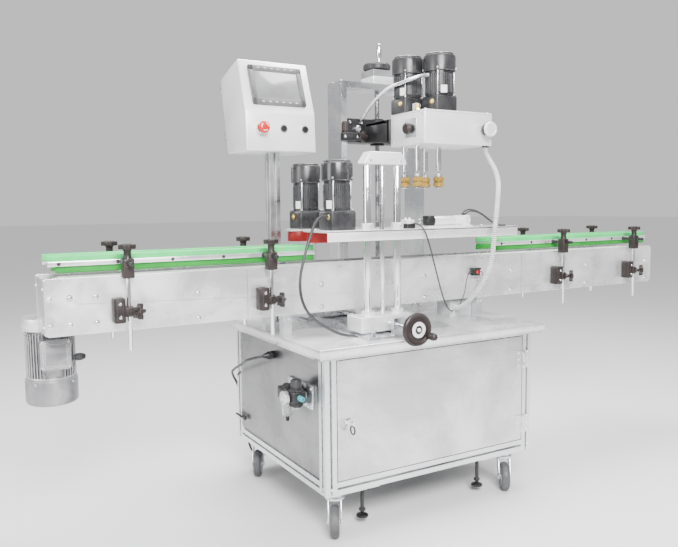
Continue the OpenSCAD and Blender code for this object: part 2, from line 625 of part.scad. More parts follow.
module front_clamp_frame() color("whitesmoke") {
  clamp_carriage();
  difference() {
    union() {
      block([clamp_x0, 95, clamp_z - 6], [clamp_x1, belt_y + 28, clamp_z]);
      block([clamp_x0, 95, clamp_z - 34], [clamp_x1, 99, clamp_z]);
      for (x = post_x) rod_z([x, clamp_post_y, clamp_z - 30], 52, 42);
    }
    for (x = post_x) rod_z([x, clamp_post_y, clamp_z - 40], 80, post_d);
    rod_z([crank_x, clamp_post_y, clamp_z - 40], 80, 14 + 2);
  }
  belt_core();
  translate([0, clamp_post_y + 22, 0]) rotate([90, 0, 0]) linear_extrude(44) polygon([
    [206, 1157], [372, 1157], [368, 1170], [350, 1197], [230, 1197], [211, 1170]]);
  block([396, 130, clamp_z - 1], [430, 176, clamp_z + 30]);
  block([486, 128, clamp_z - 1], [680, 178, clamp_z + 7]);
  difference() {
    union() {
      rod_x([516, 153, clamp_z + 24], 130, 32);
      block([490, 135, clamp_z + 6], [516.1, 171, clamp_z + 42]);
      block([646, 135, clamp_z + 6], [676, 171, clamp_z + 42]);
    }
    rod_x([480, 153, clamp_z + 24], 100, 10 + 2 * run);
  }
}
module front_clamp_posts() color("silver") {
  for (x = post_x) rod_z([x, clamp_post_y, carriage_z], 1157 - carriage_z, post_d);
  rod_z([crank_x, clamp_post_y, carriage_z], 1157 - carriage_z, 14);
}
module cylinder_rod() color("silver") {
  rod_x([462, 153, clamp_z + 24], 100, 10);
  rod_x([458, 153, clamp_z + 24], 6, 18);
}
module clamp_motor(y) {
  color("dimgray") translate([motor_x, y, clamp_z]) block([-45, -45, gap], [45, 45, 64]);
  color("black") rod_z([motor_x, y, clamp_z + 63.9], 96, 92);
  color("black") rod_z([motor_x, y, clamp_z + 159.8], 60, 100);
  color("black") rod_z([motor_x, y, clamp_z + 219.7], 5, 84);
}
module belt() color("firebrick") {
  for (y = [belt_y - belt_r, belt_y + belt_r - belt_t])
    block([pulley_x[0] + gap, y, belt_z], [pulley_x[1] - gap, y + belt_t, belt_z + belt_h]);
  for (e = [[pulley_x[0], 90], [pulley_x[1], -90]]) translate([e[0], belt_y, belt_z]) rotate(e[1])
    rotate_extrude(angle = 180) translate([belt_r - belt_t, 0]) square([belt_t, belt_h]);
}
module rear_clamp_frame() color("whitesmoke") {
  mirror_mid() clamp_carriage();
  difference() {
    union() {
      mirror_mid() block([clamp_x0, belt_y - 9, clamp_z - 6], [clamp_x1, belt_y + 28, clamp_z]);
      mirror_mid() block([clamp_x0 + 46, 102, clamp_z - 6], [380, belt_y - 8.9, clamp_z]);
      mirror_mid() for (x = post_x) rod_z([x, clamp_post_y, clamp_z - 30], 52, 42);
    }
    mirror_mid() for (x = post_x) rod_z([x, clamp_post_y, clamp_z - 40], 80, post_d);
  }
  mirror_mid() belt_core();
  mirror_mid() for (x = post_x) rod_z([x, clamp_post_y, carriage_z], clamp_z + 40 - carriage_z, post_d);
}

module bottle_sensor() {
  color("gray") block([738, 194, conv_z0 + 82], [796, conv_y0 - gap, conv_z0 + 86]);
  color("black") block([748, 196, conv_z0 + 86], [778, 216, conv_z0 + 112]);
}

// Cords: the mains lead with its coil and plug, the head harness and two thin cables
module mains_cord() color("black") tube(mains_route, cord_d, 2, 8);
module mains_coil() color("black") translate([coil_c[0], coil_c[1], 0]) rotate_extrude()
  polygon([[coil_r - 23, 0.5], [coil_r + 5, 0.5], [coil_r + 5, 19], [coil_r - 23, 19]]);
module mains_plug() color("black") translate([coil_c[0] + 26, coil_c[1] - coil_r, 13]) {
  rotate([0, 90, 0]) cylinder(h = 26, d1 = 11, d2 = 15);
  block([25.9, -15, -12], [66, 15, 12]);
  for (y = [-9.5, 9.5]) rod_x([65.9, y, 0], 19, 4.8);
}
module head_harness() color("gainsboro") tube(harness_route, 18, 2, 10);
module clamp_cable() color("black") tube(clamp_route, 9, 2, 8);
module sensor_cable() color("black") tube(sensor_route, 5, 2, 8);

place() cabinet_frame();
place() cabinet_panels();
place() worktop();
place() foot_brackets();
place() conveyor_sides();
place() conveyor_frame();
place() conveyor_chain();
place() rail_clamps();
place() drive_gearbox();
place() drive_motor();
place() drive_shaft();
place() control_post();
place() control_box();
place() touch_screen();
place() air_unit();
place() mains_gland();
place() gantry_frame();
place() clamp_base();
place() bottle_sensor();
place() door_panel();
place() door_lock();
place() caster_fork(0);  // caster_fork_fl
place() caster_fork(1);  // caster_fork_fr
place() caster_fork(2);  // caster_fork_rl
place() caster_fork(3);  // caster_fork_rr
place() caster_wheel(0);  // caster_wheel_fl
place() caster_wheel(1);  // caster_wheel_fr
place() caster_wheel(2);  // caster_wheel_rl
place() caster_wheel(3);  // caster_wheel_rr
place() head_carriage();
place() head_box();
place() head_motors();
place() head_knob();
place() lift_handwheel();
place() spindle(-1, -1);  // spindle_fl
place() spindle(1, -1);  // spindle_fr
place() spindle(-1, 1);  // spindle_rl
place() spindle(1, 1);  // spindle_rr
place() front_clamp_frame();
place() front_clamp_posts();
place() clamp_motor(motor_y);  // front_clamp_motor
place() belt();  // front_clamp_belt
place() rear_clamp_frame();
place() mirror_mid() clamp_motor(motor_y);  // rear_clamp_motor
place() mirror_mid() belt();  // rear_clamp_belt
place() clamp_crank();
place() cylinder_rod();
place() e_stop();
place() push_button(1);  // start_button
place() push_button(2);  // stop_button
place() rail_front(0);  // rail_front_left
place() mirror_mid() rail_front(0);  // rail_rear_left
place() rail_front(1);  // rail_front_right
place() mirror_mid() rail_front(1);  // rail_rear_right
place() mains_cord();
place() mains_coil();
place() mains_plug();
place() head_harness();
place() clamp_cable();
place() sensor_cable();
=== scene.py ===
from math import atan2, cos, pi, radians, sin, tau

import bmesh
import bpy
from mathutils import Matrix, Vector
from mathutils.geometry import interpolate_bezier


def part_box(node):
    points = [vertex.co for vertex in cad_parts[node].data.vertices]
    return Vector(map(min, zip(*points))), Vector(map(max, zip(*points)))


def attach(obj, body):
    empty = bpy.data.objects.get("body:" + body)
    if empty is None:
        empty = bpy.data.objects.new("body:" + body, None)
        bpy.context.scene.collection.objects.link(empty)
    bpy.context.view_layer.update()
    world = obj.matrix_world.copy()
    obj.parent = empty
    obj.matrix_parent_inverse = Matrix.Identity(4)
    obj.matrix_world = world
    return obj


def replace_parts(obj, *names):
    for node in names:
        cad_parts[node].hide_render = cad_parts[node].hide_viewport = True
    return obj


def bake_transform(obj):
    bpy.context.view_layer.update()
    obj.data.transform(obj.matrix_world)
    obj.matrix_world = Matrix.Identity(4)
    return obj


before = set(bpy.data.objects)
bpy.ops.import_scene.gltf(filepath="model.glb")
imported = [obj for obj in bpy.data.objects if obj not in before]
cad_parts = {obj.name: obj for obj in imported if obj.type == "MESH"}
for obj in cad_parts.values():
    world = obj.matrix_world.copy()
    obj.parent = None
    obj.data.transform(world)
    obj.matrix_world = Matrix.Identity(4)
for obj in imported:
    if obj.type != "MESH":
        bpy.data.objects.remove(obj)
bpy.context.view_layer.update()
scene = bpy.context.scene


# ---------------------------------------------------------------- Studio
# A pale floor sweep, a soft overhead tent and three soft boxes, seen from the left front
# at chest height, with the whole length of the conveyor in view.
def add_node(tree, kind, **values):
    """A shader node with its options and its unlinked sockets set by name."""
    made = tree.nodes.new(kind)
    for key, value in values.items():
        if hasattr(made, key):
            setattr(made, key, value)
        else:
            made.inputs[key.replace("_", " ")].default_value = value
    return made


camera = bpy.data.objects.new("camera", bpy.data.cameras.new("camera"))
scene.collection.objects.link(camera)
camera.data.sensor_width = 36
camera.data.lens = 37.44
camera.data.clip_end = 60
camera.location = (-1.5073, -2.1174, 1.0243)
camera.rotation_euler = (radians(84.531), radians(0.559), radians(-30.146))
scene.camera = camera

world = bpy.data.worlds.new("tent")
world.use_nodes = True
sky = world.node_tree
sky_way = add_node(sky, "ShaderNodeTexCoord")
sky_split = add_node(sky, "ShaderNodeSeparateXYZ")
sky_ramp = add_node(sky, "ShaderNodeValToRGB")
for stop, (place, grey) in zip(
    [sky_ramp.color_ramp.elements[0], sky_ramp.color_ramp.elements[1],
     sky_ramp.color_ramp.elements.new(0.5), sky_ramp.color_ramp.elements.new(0.62)],
    [(0.0, 0.6), (1.0, 1.0), (0.5, 0.5), (0.66, 0.86)],
):
    stop.position = place
    stop.color = (grey, grey, grey * 1.01, 1)
sky_half = add_node(sky, "ShaderNodeMath", operation="MULTIPLY_ADD")
sky_half.inputs[1].default_value = sky_half.inputs[2].default_value = 0.5
sky.links.new(sky_way.outputs["Generated"], sky_split.inputs[0])
sky.links.new(sky_split.outputs["Z"], sky_half.inputs[0])
sky.links.new(sky_half.outputs[0], sky_ramp.inputs["Fac"])
sky.links.new(sky_ramp.outputs["Color"], sky.nodes["Background"].inputs["Color"])
sky.nodes["Background"].inputs["Strength"].default_value = 0.95
pale_back = add_node(sky, "ShaderNodeBackground", Color=(0.8, 0.8, 0.8, 1), Strength=0.95)
sky_seen = add_node(sky, "ShaderNodeLightPath")
sky_choice = add_node(sky, "ShaderNodeMixShader")
sky.links.new(sky_seen.outputs["Is Camera Ray"], sky_choice.inputs[0])
sky.links.new(sky.nodes["Background"].outputs[0], sky_choice.inputs[1])
sky.links.new(pale_back.outputs[0], sky_choice.inputs[2])
sky.links.new(sky_choice.outputs[0], sky.nodes["World Output"].inputs["Surface"])
scene.world = world


def soft_box(name, place, aim_at, width, height, power):
    """A rectangular soft box that faces a point on the machine."""
    light = bpy.data.lights.new(name, "AREA")
    light.shape = "RECTANGLE"
    light.size, light.size_y, light.energy = width, height, power
    lamp = bpy.data.objects.new(name, light)
    scene.collection.objects.link(lamp)
    lamp.location = place
    lamp.rotation_euler = (Vector(aim_at) - Vector(place)).to_track_quat("-Z", "Y").to_euler()


soft_box("key_light", (-1.4, -3.4, 2.9), (0.1, 0, 0.8), 1.8, 1.4, 430)
soft_box("side_light", (-3.6, -0.2, 1.9), (-0.4, 0, 0.7), 1.2, 1.8, 75)
soft_box("top_light", (0.5, 0.4, 3.6), (0.1, 0, 0.6), 2.6, 1.6, 260)

floor = bpy.data.meshes.new("floor")
floor_form = bmesh.new()
bmesh.ops.create_grid(floor_form, x_segments=1, y_segments=1, size=45)
floor_form.to_mesh(floor)
floor_form.free()
floor_piece = bpy.data.objects.new("floor", floor)
scene.collection.objects.link(floor_piece)
floor_paint = bpy.data.materials.new("floor_paint")
floor_paint.use_nodes = True
floor_paint.node_tree.nodes["Principled BSDF"].inputs["Base Color"].default_value = (0.72, 0.72, 0.72, 1)
floor_paint.node_tree.nodes["Principled BSDF"].inputs["Roughness"].default_value = 0.7
floor.materials.append(floor_paint)


# ---------------------------------------------------------------- Mains lead
# Round black PVC lead that leaves the gland on the left panel, drops behind the rear post and
# lies on the floor in a tied coil of two layers, with a moulded plug. It is pushed into the gland.
corner = Vector((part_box("cabinet_frame")[0].x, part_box("worktop")[0].y + 0.030, 0))
to_frame = Matrix.Translation(corner) @ Matrix.Scale(0.001, 4)


def drawn(node):
    """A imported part's lowest and highest corners in drawing millimetres, from the left post,
    the cabinet's front and the floor. Every mesh is made in them and finished in metres."""
    return [(end - corner) * 1000 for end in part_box(node)]


def group_of(name, inputs, outputs):
    """An empty shader node group with named sockets."""
    tree = bpy.data.node_groups.new(name, "ShaderNodeTree")
    for label, kind, value in inputs:
        tree.interface.new_socket(label, in_out="INPUT", socket_type=kind).default_value = value
    for label, kind in outputs:
        tree.interface.new_socket(label, in_out="OUTPUT", socket_type=kind)
    return tree, tree.nodes.new("NodeGroupInput"), tree.nodes.new("NodeGroupOutput")


def make_grain():
    """Fine and coarse grain stretched along a direction, as a tone and a normal."""
    tree, given, out = group_of(
        "grain",
        [("Stretch", "NodeSocketVector", (200, 200, 200)), ("Depth", "NodeSocketFloat", 0.0002)],
        [("Tone", "NodeSocketFloat"), ("Normal", "NodeSocketVector")],
    )
    where = add_node(tree, "ShaderNodeTexCoord")
    fine_way = add_node(tree, "ShaderNodeVectorMath", operation="MULTIPLY")
    coarse_way = add_node(tree, "ShaderNodeVectorMath", operation="SCALE", Scale=0.11)
    fine = add_node(tree, "ShaderNodeTexNoise", Scale=1.0, Detail=3.0, Roughness=0.6)
    coarse = add_node(tree, "ShaderNodeTexNoise", Scale=1.0, Detail=4.0, Roughness=0.65)
    mean = add_node(tree, "ShaderNodeMix", data_type="FLOAT")
    mean.inputs[0].default_value = 0.55
    bump = add_node(tree, "ShaderNodeBump", Strength=1.0)
    tree.links.new(where.outputs["Object"], fine_way.inputs[0])
    tree.links.new(given.outputs["Stretch"], fine_way.inputs[1])
    tree.links.new(fine_way.outputs[0], fine.inputs["Vector"])
    tree.links.new(fine_way.outputs[0], coarse_way.inputs[0])
    tree.links.new(coarse_way.outputs[0], coarse.inputs["Vector"])
    tree.links.new(fine.outputs["Fac"], mean.inputs[2])
    tree.links.new(coarse.outputs["Fac"], mean.inputs[3])
    tree.links.new(mean.outputs[0], out.inputs["Tone"])
    tree.links.new(fine.outputs["Fac"], bump.inputs["Height"])
    tree.links.new(given.outputs["Depth"], bump.inputs["Distance"])
    tree.links.new(bump.outputs["Normal"], out.inputs["Normal"])
    return tree


def make_patches():
    """Soft cloudy patches of handling marks and uneven polish, as a mask from 0 to 1."""
    tree, given, out = group_of(
        "patches", [("Across", "NodeSocketFloat", 6.0)], [("Mask", "NodeSocketFloat")]
    )
    where = add_node(tree, "ShaderNodeTexCoord")
    cloud = add_node(tree, "ShaderNodeTexNoise", Detail=5.0, Roughness=0.62, Distortion=0.4)
    clear = add_node(tree, "ShaderNodeMapRange", interpolation_type="SMOOTHSTEP")
    clear.inputs["From Min"].default_value = 0.36
    clear.inputs["From Max"].default_value = 0.66
    tree.links.new(where.outputs["Object"], cloud.inputs["Vector"])
    tree.links.new(given.outputs["Across"], cloud.inputs["Scale"])
    tree.links.new(cloud.outputs["Fac"], clear.inputs["Value"])
    tree.links.new(clear.outputs["Result"], out.inputs["Mask"])
    return tree


def make_edges():
    """A mask that is 1 where a surface turns a corner, for rubbed edges and painted edge highlights."""
    tree, given, out = group_of(
        "edges", [("Reach", "NodeSocketFloat", 0.002)], [("Mask", "NodeSocketFloat")]
    )
    round_off = add_node(tree, "ShaderNodeBevel", samples=4)
    flat = add_node(tree, "ShaderNodeNewGeometry")
    match = add_node(tree, "ShaderNodeVectorMath", operation="DOT_PRODUCT")
    turn = add_node(tree, "ShaderNodeMapRange")
    turn.inputs["From Min"].default_value = 0.995
    turn.inputs["From Max"].default_value = 0.9
    tree.links.new(given.outputs["Reach"], round_off.inputs["Radius"])
    tree.links.new(round_off.outputs["Normal"], match.inputs[0])
    tree.links.new(flat.outputs["Normal"], match.inputs[1])
    tree.links.new(match.outputs["Value"], turn.inputs["Value"])
    tree.links.new(turn.outputs["Result"], out.inputs["Mask"])
    return tree


grain, patches, edges = make_grain(), make_patches(), make_edges()


def finish(name, light, dark, rough, stretch, depth, across=6.0, edge_wear_and_highlight=None, **sockets):
    """A surface whose grain runs from one tone to another, whose polish varies in patches and whose corners
    may be lightened to a third tone: rubbed wear and a painted edge highlight. Constant sockets are set on
    the shader."""
    material = bpy.data.materials.new(name)
    material.use_nodes = True
    tree = material.node_tree
    shader = tree.nodes["Principled BSDF"]
    lines = add_node(tree, "ShaderNodeGroup", node_tree=grain)
    lines.inputs["Stretch"].default_value = stretch
    lines.inputs["Depth"].default_value = depth
    marks = add_node(tree, "ShaderNodeGroup", node_tree=patches)
    marks.inputs["Across"].default_value = across
    blend = add_node(tree, "ShaderNodeMath", operation="MULTIPLY_ADD")
    blend.inputs[1].default_value = 0.45
    tint = add_node(tree, "ShaderNodeMix", data_type="RGBA")
    tint.inputs[6].default_value = (*dark, 1)
    tint.inputs[7].default_value = (*light, 1)
    scale_marks = add_node(tree, "ShaderNodeMath", operation="MULTIPLY")
    scale_marks.inputs[1].default_value = 0.7
    polish = add_node(tree, "ShaderNodeMapRange")
    polish.inputs["To Min"].default_value, polish.inputs["To Max"].default_value = rough
    tree.links.new(marks.outputs["Mask"], scale_marks.inputs[0])
    tree.links.new(lines.outputs["Tone"], blend.inputs[0])
    tree.links.new(scale_marks.outputs[0], blend.inputs[2])
    tree.links.new(blend.outputs[0], tint.inputs[0])
    tree.links.new(marks.outputs["Mask"], polish.inputs["Value"])
    tree.links.new(polish.outputs["Result"], shader.inputs["Roughness"])
    tree.links.new(lines.outputs["Normal"], shader.inputs["Normal"])
    colour = tint.outputs[2]
    # Corner colour: partly rubbed wear, partly a painted highlight along the edges.
    if edge_wear_and_highlight:
        edge_wear_and_glint = add_node(tree, "ShaderNodeGroup", node_tree=edges)
        top = add_node(tree, "ShaderNodeMix", data_type="RGBA")
        top.inputs[7].default_value = (*edge_wear_and_highlight, 1)
        tree.links.new(edge_wear_and_glint.outputs["Mask"], top.inputs[0])
        tree.links.new(colour, top.inputs[6])
        colour = top.outputs[2]
    tree.links.new(colour, shader.inputs["Base Color"])
    for socket, value in sockets.items():
        shader.inputs[socket.replace("_", " ")].default_value = value
    return material


def fasten(piece, body):
    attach(piece, body)
    return piece


def put(whole, part, place=Matrix()):
    """Adds one finished shape to a piece's mesh at its place, with its faces outwards."""
    bmesh.ops.remove_doubles(part, verts=part.verts, dist=1e-4)
    bmesh.ops.transform(part, matrix=place, verts=part.verts)
    bmesh.ops.recalc_face_normals(part, faces=part.faces)
    shape = bpy.data.meshes.new("shape")
    part.to_mesh(shape)
    part.free()
    whole.from_mesh(shape)
    bpy.data.meshes.remove(shape)


def round_edges(part, width, steps=2, picked=None):
    if width:
        bmesh.ops.bevel(part, geom=list(picked if picked is not None else part.edges), offset=width,
                        segments=steps, affect="EDGES", profile=0.5, material=-1, clamp_overlap=True)


def aimed(foot, axis):
    """The place of a shape drawn upwards from the origin and turned to stand along an axis."""
    return Matrix.Translation(foot) @ Vector(axis).to_track_quat("Z", "Y").to_matrix().to_4x4()


def block(whole, low, high, edge=1.0, steps=2, place=Matrix()):
    part = bmesh.new()
    bmesh.ops.create_cube(part, size=1)
    bmesh.ops.scale(part, verts=part.verts, vec=[b - a for a, b in zip(low, high)])
    bmesh.ops.translate(part, verts=part.verts, vec=[(a + b) / 2 for a, b in zip(low, high)])
    round_edges(part, edge, steps)
    put(whole, part, place)


def rod(whole, foot, length, radius, axis=(0, 0, 1), edge=0.6, sides=32, end=None):
    """A round bar, or a cone where end is given, from its foot along an axis."""
    part = bmesh.new()
    bmesh.ops.create_cone(part, cap_ends=True, segments=sides, radius1=radius,
                          radius2=radius if end is None else end, depth=length)
    bmesh.ops.translate(part, verts=part.verts, vec=(0, 0, length / 2))
    rims = [e for e in part.edges if any(len(f.verts) > 4 for f in e.link_faces)]
    round_edges(part, edge, 2, rims)
    put(whole, part, aimed(foot, axis))


def turned(whole, outline, foot, axis=(0, 0, 1), steps=40):
    """A solid of revolution from (radius, height) points, spun about its own upright axis."""
    part = bmesh.new()
    points = [part.verts.new((radius, 0, height)) for radius, height in outline]
    lines = [part.edges.new(pair) for pair in zip(points, points[1:])]
    bmesh.ops.spin(part, geom=points + lines, cent=(0, 0, 0), axis=(0, 0, 1), dvec=(0, 0, 0),
                   angle=tau, steps=steps, use_merge=True)
    put(whole, part, aimed(foot, axis))


def plate(whole, outline, thick, edge=0.6, place=Matrix(), steps=2):
    """A flat shape in its own XY plane, raised by its thickness."""
    part = bmesh.new()
    face = part.faces.new([part.verts.new((x, y, 0)) for x, y in outline])
    raised = bmesh.ops.extrude_face_region(part, geom=[face])["geom"]
    bmesh.ops.translate(part, vec=(0, 0, thick), verts=[v for v in raised if isinstance(v,
                                                                                        bmesh.types.BMVert)])
    round_edges(part, edge, steps)
    put(whole, part, place)


def piece(name, whole, material, body, slot, smooth=32):
    """The finished piece: its mesh in the frame's metres, shaded smooth up to an angle."""
    mesh = bpy.data.meshes.new(name)
    bmesh.ops.transform(whole, matrix=to_frame, verts=whole.verts)
    for face in whole.faces:
        face.smooth = True
    whole.to_mesh(mesh)
    whole.free()
    mesh.set_sharp_from_angle(angle=radians(smooth))
    mesh.materials.append(material)
    made = bpy.data.objects.new(name, mesh)
    scene.collection.objects.link(made)
    return fasten(made, body)


def strand(name, points, thick, closed=False, resolution=4):
    """A round strand through drawing points, as a curve in the frame's metres."""
    curve = bpy.data.curves.new(name, "CURVE")
    curve.dimensions = "3D"
    curve.bevel_depth = thick / 2000
    curve.bevel_resolution = resolution
    curve.resolution_u = 6
    curve.use_fill_caps = True
    line = curve.splines.new("BEZIER")
    line.bezier_points.add(len(points) - 1)
    line.use_cyclic_u = closed
    for knot, point in zip(line.bezier_points, points):
        knot.co = to_frame @ Vector(point)
        knot.handle_left_type = knot.handle_right_type = "AUTO"
    made = bpy.data.objects.new(name, curve)
    scene.collection.objects.link(made)
    return made


def trace(curve_piece, steps=6):
    """The points that a strand's centreline passes, close together."""
    knots = curve_piece.data.splines[0].bezier_points
    path = []
    for a, b in zip(knots, knots[1:]):
        path += interpolate_bezier(a.co, a.handle_right, b.handle_left, b.co, steps + 1)[:-1]
    return path + [knots[-1].co.copy()]


def as_mesh(curve_piece):
    """A strand made a mesh."""
    bpy.context.view_layer.update()
    name = curve_piece.name
    baked = curve_piece.evaluated_get(bpy.context.evaluated_depsgraph_get())
    mesh = bpy.data.meshes.new_from_object(baked)
    bpy.data.objects.remove(curve_piece)
    made = bpy.data.objects.new(name, mesh)
    made.name = name
    scene.collection.objects.link(made)
    for face in mesh.polygons:
        face.use_smooth = True
    return made


cord_black = finish("cord_black", (0.035, 0.035, 0.037), (0.014, 0.014, 0.015), (0.38, 0.55),
                    (900, 900, 900), 0.00008, across=18)

mains_route = [
    (-36.2, 370, 516), (-46, 371, 515), (-58, 376, 513), (-68, 386, 509), (-74, 400, 504),
    (-76, 418, 498), (-73, 440, 490), (-66, 472, 478), (-57, 512, 464), (-49, 556, 449), (-42, 600, 433),
    (-34, 650, 414), (-24, 690, 396), (-8, 722, 372), (14, 740, 336), (34, 750, 286), (48, 757, 226),
    (58, 764, 166), (68, 774, 108), (82, 788, 58), (106, 802, 22), (146, 806, 6.5), (196, 803, 5.3),
]
mains_thick = 9
coil_low, coil_high = drawn("mains_coil")
coil_middle = (coil_low + coil_high) / 2
coil_outer = (coil_high.x - coil_low.x) / 2 - mains_thick / 2 - 0.4
coil_pitch = 9.3
knots_per_turn = 14


def coil_point(turn):
    """A point of the coil after so many turns: in for two, up for one and out for two."""
    inward = min(turn, 2, 5 - turn) if turn < 2 or turn > 3 else 2
    rise = min(max(turn - 2, 0), 1)
    angle = turn * tau - pi / 2
    radius = coil_outer - coil_pitch * inward
    return (coil_middle.x + radius * cos(angle), coil_middle.y + radius * sin(angle),
            mains_thick / 2 + 0.7 + coil_pitch * rise)


coil_route = [coil_point(k / knots_per_turn) for k in range(5 * knots_per_turn + 1)]
plug_low, plug_high = drawn("mains_plug")
plug_axis_z = (plug_low.z + plug_high.z) / 2
plug_y = (plug_low.y + plug_high.y) / 2
lead = strand("mains_lead", mains_route + coil_route + [(plug_low.x + 1, plug_y, plug_axis_z)], mains_thick)
lead.data.materials.append(cord_black)
fasten(lead, "base")
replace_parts(lead, "mains_cord", "mains_coil")

plug = bmesh.new()
turned(plug, [(4.4, 0), (5.2, 1), (5.6, 3), (5.1, 4), (5.1, 6), (5.9, 7), (6.1, 9), (5.5, 10), (5.5, 12),
              (6.3, 13), (6.6, 15), (6, 16), (6, 18), (6.9, 19), (7.3, 22), (7.5, 26), (0, 26)],
       (plug_low.x, plug_y, plug_axis_z), (1, 0, 0))
block(plug, (plug_low.x + 25, plug_low.y + 0.4, plug_low.z + 0.3),
      (plug_low.x + 65.6, plug_high.y - 0.4, plug_high.z - 0.3), 5, 4)
for rib in range(4):
    block(plug, (plug_low.x + 33 + 6 * rib, plug_low.y, plug_low.z + 6),
          (plug_low.x + 36 + 6 * rib, plug_high.y, plug_high.z - 6), 1)
plug_body = piece("mains_plug_body", plug, cord_black, "base", "cord_black")
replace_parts(plug_body, "mains_plug")
plug_steel = finish("plug_pin_nickel", (0.78, 0.77, 0.73), (0.6, 0.59, 0.55), (0.18, 0.32),
                    (200, 900, 900), 0.00002, Metallic=1.0)
pins = bmesh.new()
for offset in (-9.5, 9.5):
    rod(pins, (plug_low.x + 65, plug_y + offset, plug_axis_z), 19.8, 2.3, (1, 0, 0), 1)
plug_pins = piece("mains_plug_pins", pins, plug_steel, "base", "shaft_chrome")

tie_span, tie_wide, tie_thin = (36, 65), 4, 0.45
strap = bmesh.new()
for low, high in (((tie_span[0], 0), (tie_span[1], tie_thin)), ((tie_span[0], 19.5), (tie_span[1], 20.3)),
                  ((tie_span[0] - 1, 0), (tie_span[0], 20.3)), ((tie_span[1], 0), (tie_span[1] + 1, 20.3))):
    block(strap, (coil_middle.x - tie_wide, coil_middle.y + low[0], low[1]),
          (coil_middle.x + tie_wide, coil_middle.y + high[0], high[1]), 0.15)
tie = piece("coil_tie", strap, cord_black, "base", "cord_black")


# ---------------------------------------------------------------- Head harness
# Wires of the head gathered in a pale spiral wrap, from a hole under the head box down past the
# front of the clamp to the junction box. It hangs free.
wrap_grey = finish("harness_wrap", (0.78, 0.78, 0.77), (0.55, 0.55, 0.54), (0.42, 0.6),
                   (300, 300, 300), 0.0001, across=14)
harness_route = [
    (800, 200, 1238), (800.6, 199.7, 1222), (808, 188, 1192), (808, 162, 1160), (796, 128, 1120),
    (772, 98, 1079), (745, 72, 1038), (722, 52, 992), (708, 43, 943), (701, 41, 894), (698, 45, 845),
    (694, 57, 799), (688, 77, 757), (683, 104, 718), (682, 138, 684), (688, 176, 660), (695, 210, 646),
    (698, 232, 641), (698, 249.6, 640),
]


def wound(path, radius, pitch, per_turn):
    """Drawing points that wind round a path at a radius."""
    points, across, travelled = [], Vector((1, 0, 0)), 0.0
    for a, b in zip(path, path[1:]):
        ahead = (b - a).normalized()
        across = (across - ahead * across.dot(ahead)).normalized()
        steps = max(1, round((b - a).length / (pitch / per_turn)))
        for k in range(steps):
            angle = tau * (travelled + (b - a).length * k / steps) / pitch
            turn = Matrix.Rotation(angle, 3, ahead)
            points.append(a + (b - a) * k / steps + turn @ (across * radius))
        travelled += (b - a).length
    return points


bundle = strand("head_wires", harness_route, 15)
bundle_path = trace(bundle)
bundle = as_mesh(bundle)
bundle.data.materials.append(cord_black)
wrap = strand("head_harness_wrap", wound([to_frame.inverted() @ p for p in bundle_path], 6.2, 6.6, 7), 5.6,
              False, 1)
wrap = as_mesh(wrap)
wrap.data.materials.append(wrap_grey)
for strip, slot in ((bundle, "cord_black"), (wrap, "harness_wrap")):
    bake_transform(strip)
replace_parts(bundle, "head_harness")


# ---------------------------------------------------------------- Clamp cables
# Black cable of the clamp motors down to the base plate, and the thin cable of the clamp cylinder
# to the junction box. Both hang between a fixed end and the sliding clamp.
clamp_route = [
    (116.6, 172, 990), (103, 172, 990), (85, 170, 988), (64, 164, 972), (44, 156, 940), (24, 149, 896),
    (6, 142, 850), (-6, 138, 805), (-9, 134, 762), (-2, 130, 724), (14, 127, 692), (38, 123, 666),
    (70, 118, 644), (104, 110, 624), (134, 104, 613), (164, 96, 609),
]
sensor_route = [
    (418, 129.6, 962), (419, 116, 963), (422, 104, 961), (427, 93, 954), (434, 86, 941), (443, 84, 920),
    (456, 86, 890), (472, 92, 855), (490, 101, 818), (510, 112, 780), (532, 126, 744), (556, 143, 711),
    (582, 162, 682), (610, 183, 658), (640, 206, 640), (668, 228, 631), (681, 238, 629.5),
    (685, 249.4, 629),
]
for name, node, route, thick, length in (
    ("clamp_motor_cable", "clamp_cable", clamp_route, 9, 0.54),
    ("clamp_cylinder_cable", "sensor_cable", sensor_route, 5, 0.52),
):
    cable = strand(name, route, thick)
    cable_path = trace(cable)
    cable = as_mesh(cable)
    cable.data.materials.append(cord_black)
    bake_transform(cable)
    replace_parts(cable, node)


# ---------------------------------------------------------------- Cabinet frame and panels
# Anodised slotted square bars bolted at the corners, with brushed stainless sheets let into the
# slots of the sides and the back, coloured darker than the front as painted shade. Corner screws sit in the
# slots near each joint.
def dress(node, material):
    """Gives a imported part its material."""
    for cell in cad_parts[node].material_slots:
        cell.material = material


def soften(node, width):
    """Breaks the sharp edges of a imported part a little, as a deburred edge is."""
    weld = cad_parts[node].modifiers.new("weld", "WELD")
    weld.merge_threshold = 0.00001
    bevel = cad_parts[node].modifiers.new("deburred", "BEVEL")
    bevel.width, bevel.segments, bevel.limit_method = width / 1000, 2, "ANGLE"
    bevel.angle_limit, bevel.harden_normals = radians(50), False


def screw(whole, foot, axis, radius=4.5, height=3.5):
    """A socket head screw, with the socket as a pit in its head."""
    turned(whole, [(0, 0), (radius, 0), (radius, height - 0.6), (radius - 0.6, height),
                   (radius * 0.55, height),
                   (radius * 0.5, height * 0.4), (0, height * 0.4)], foot, axis, 16)


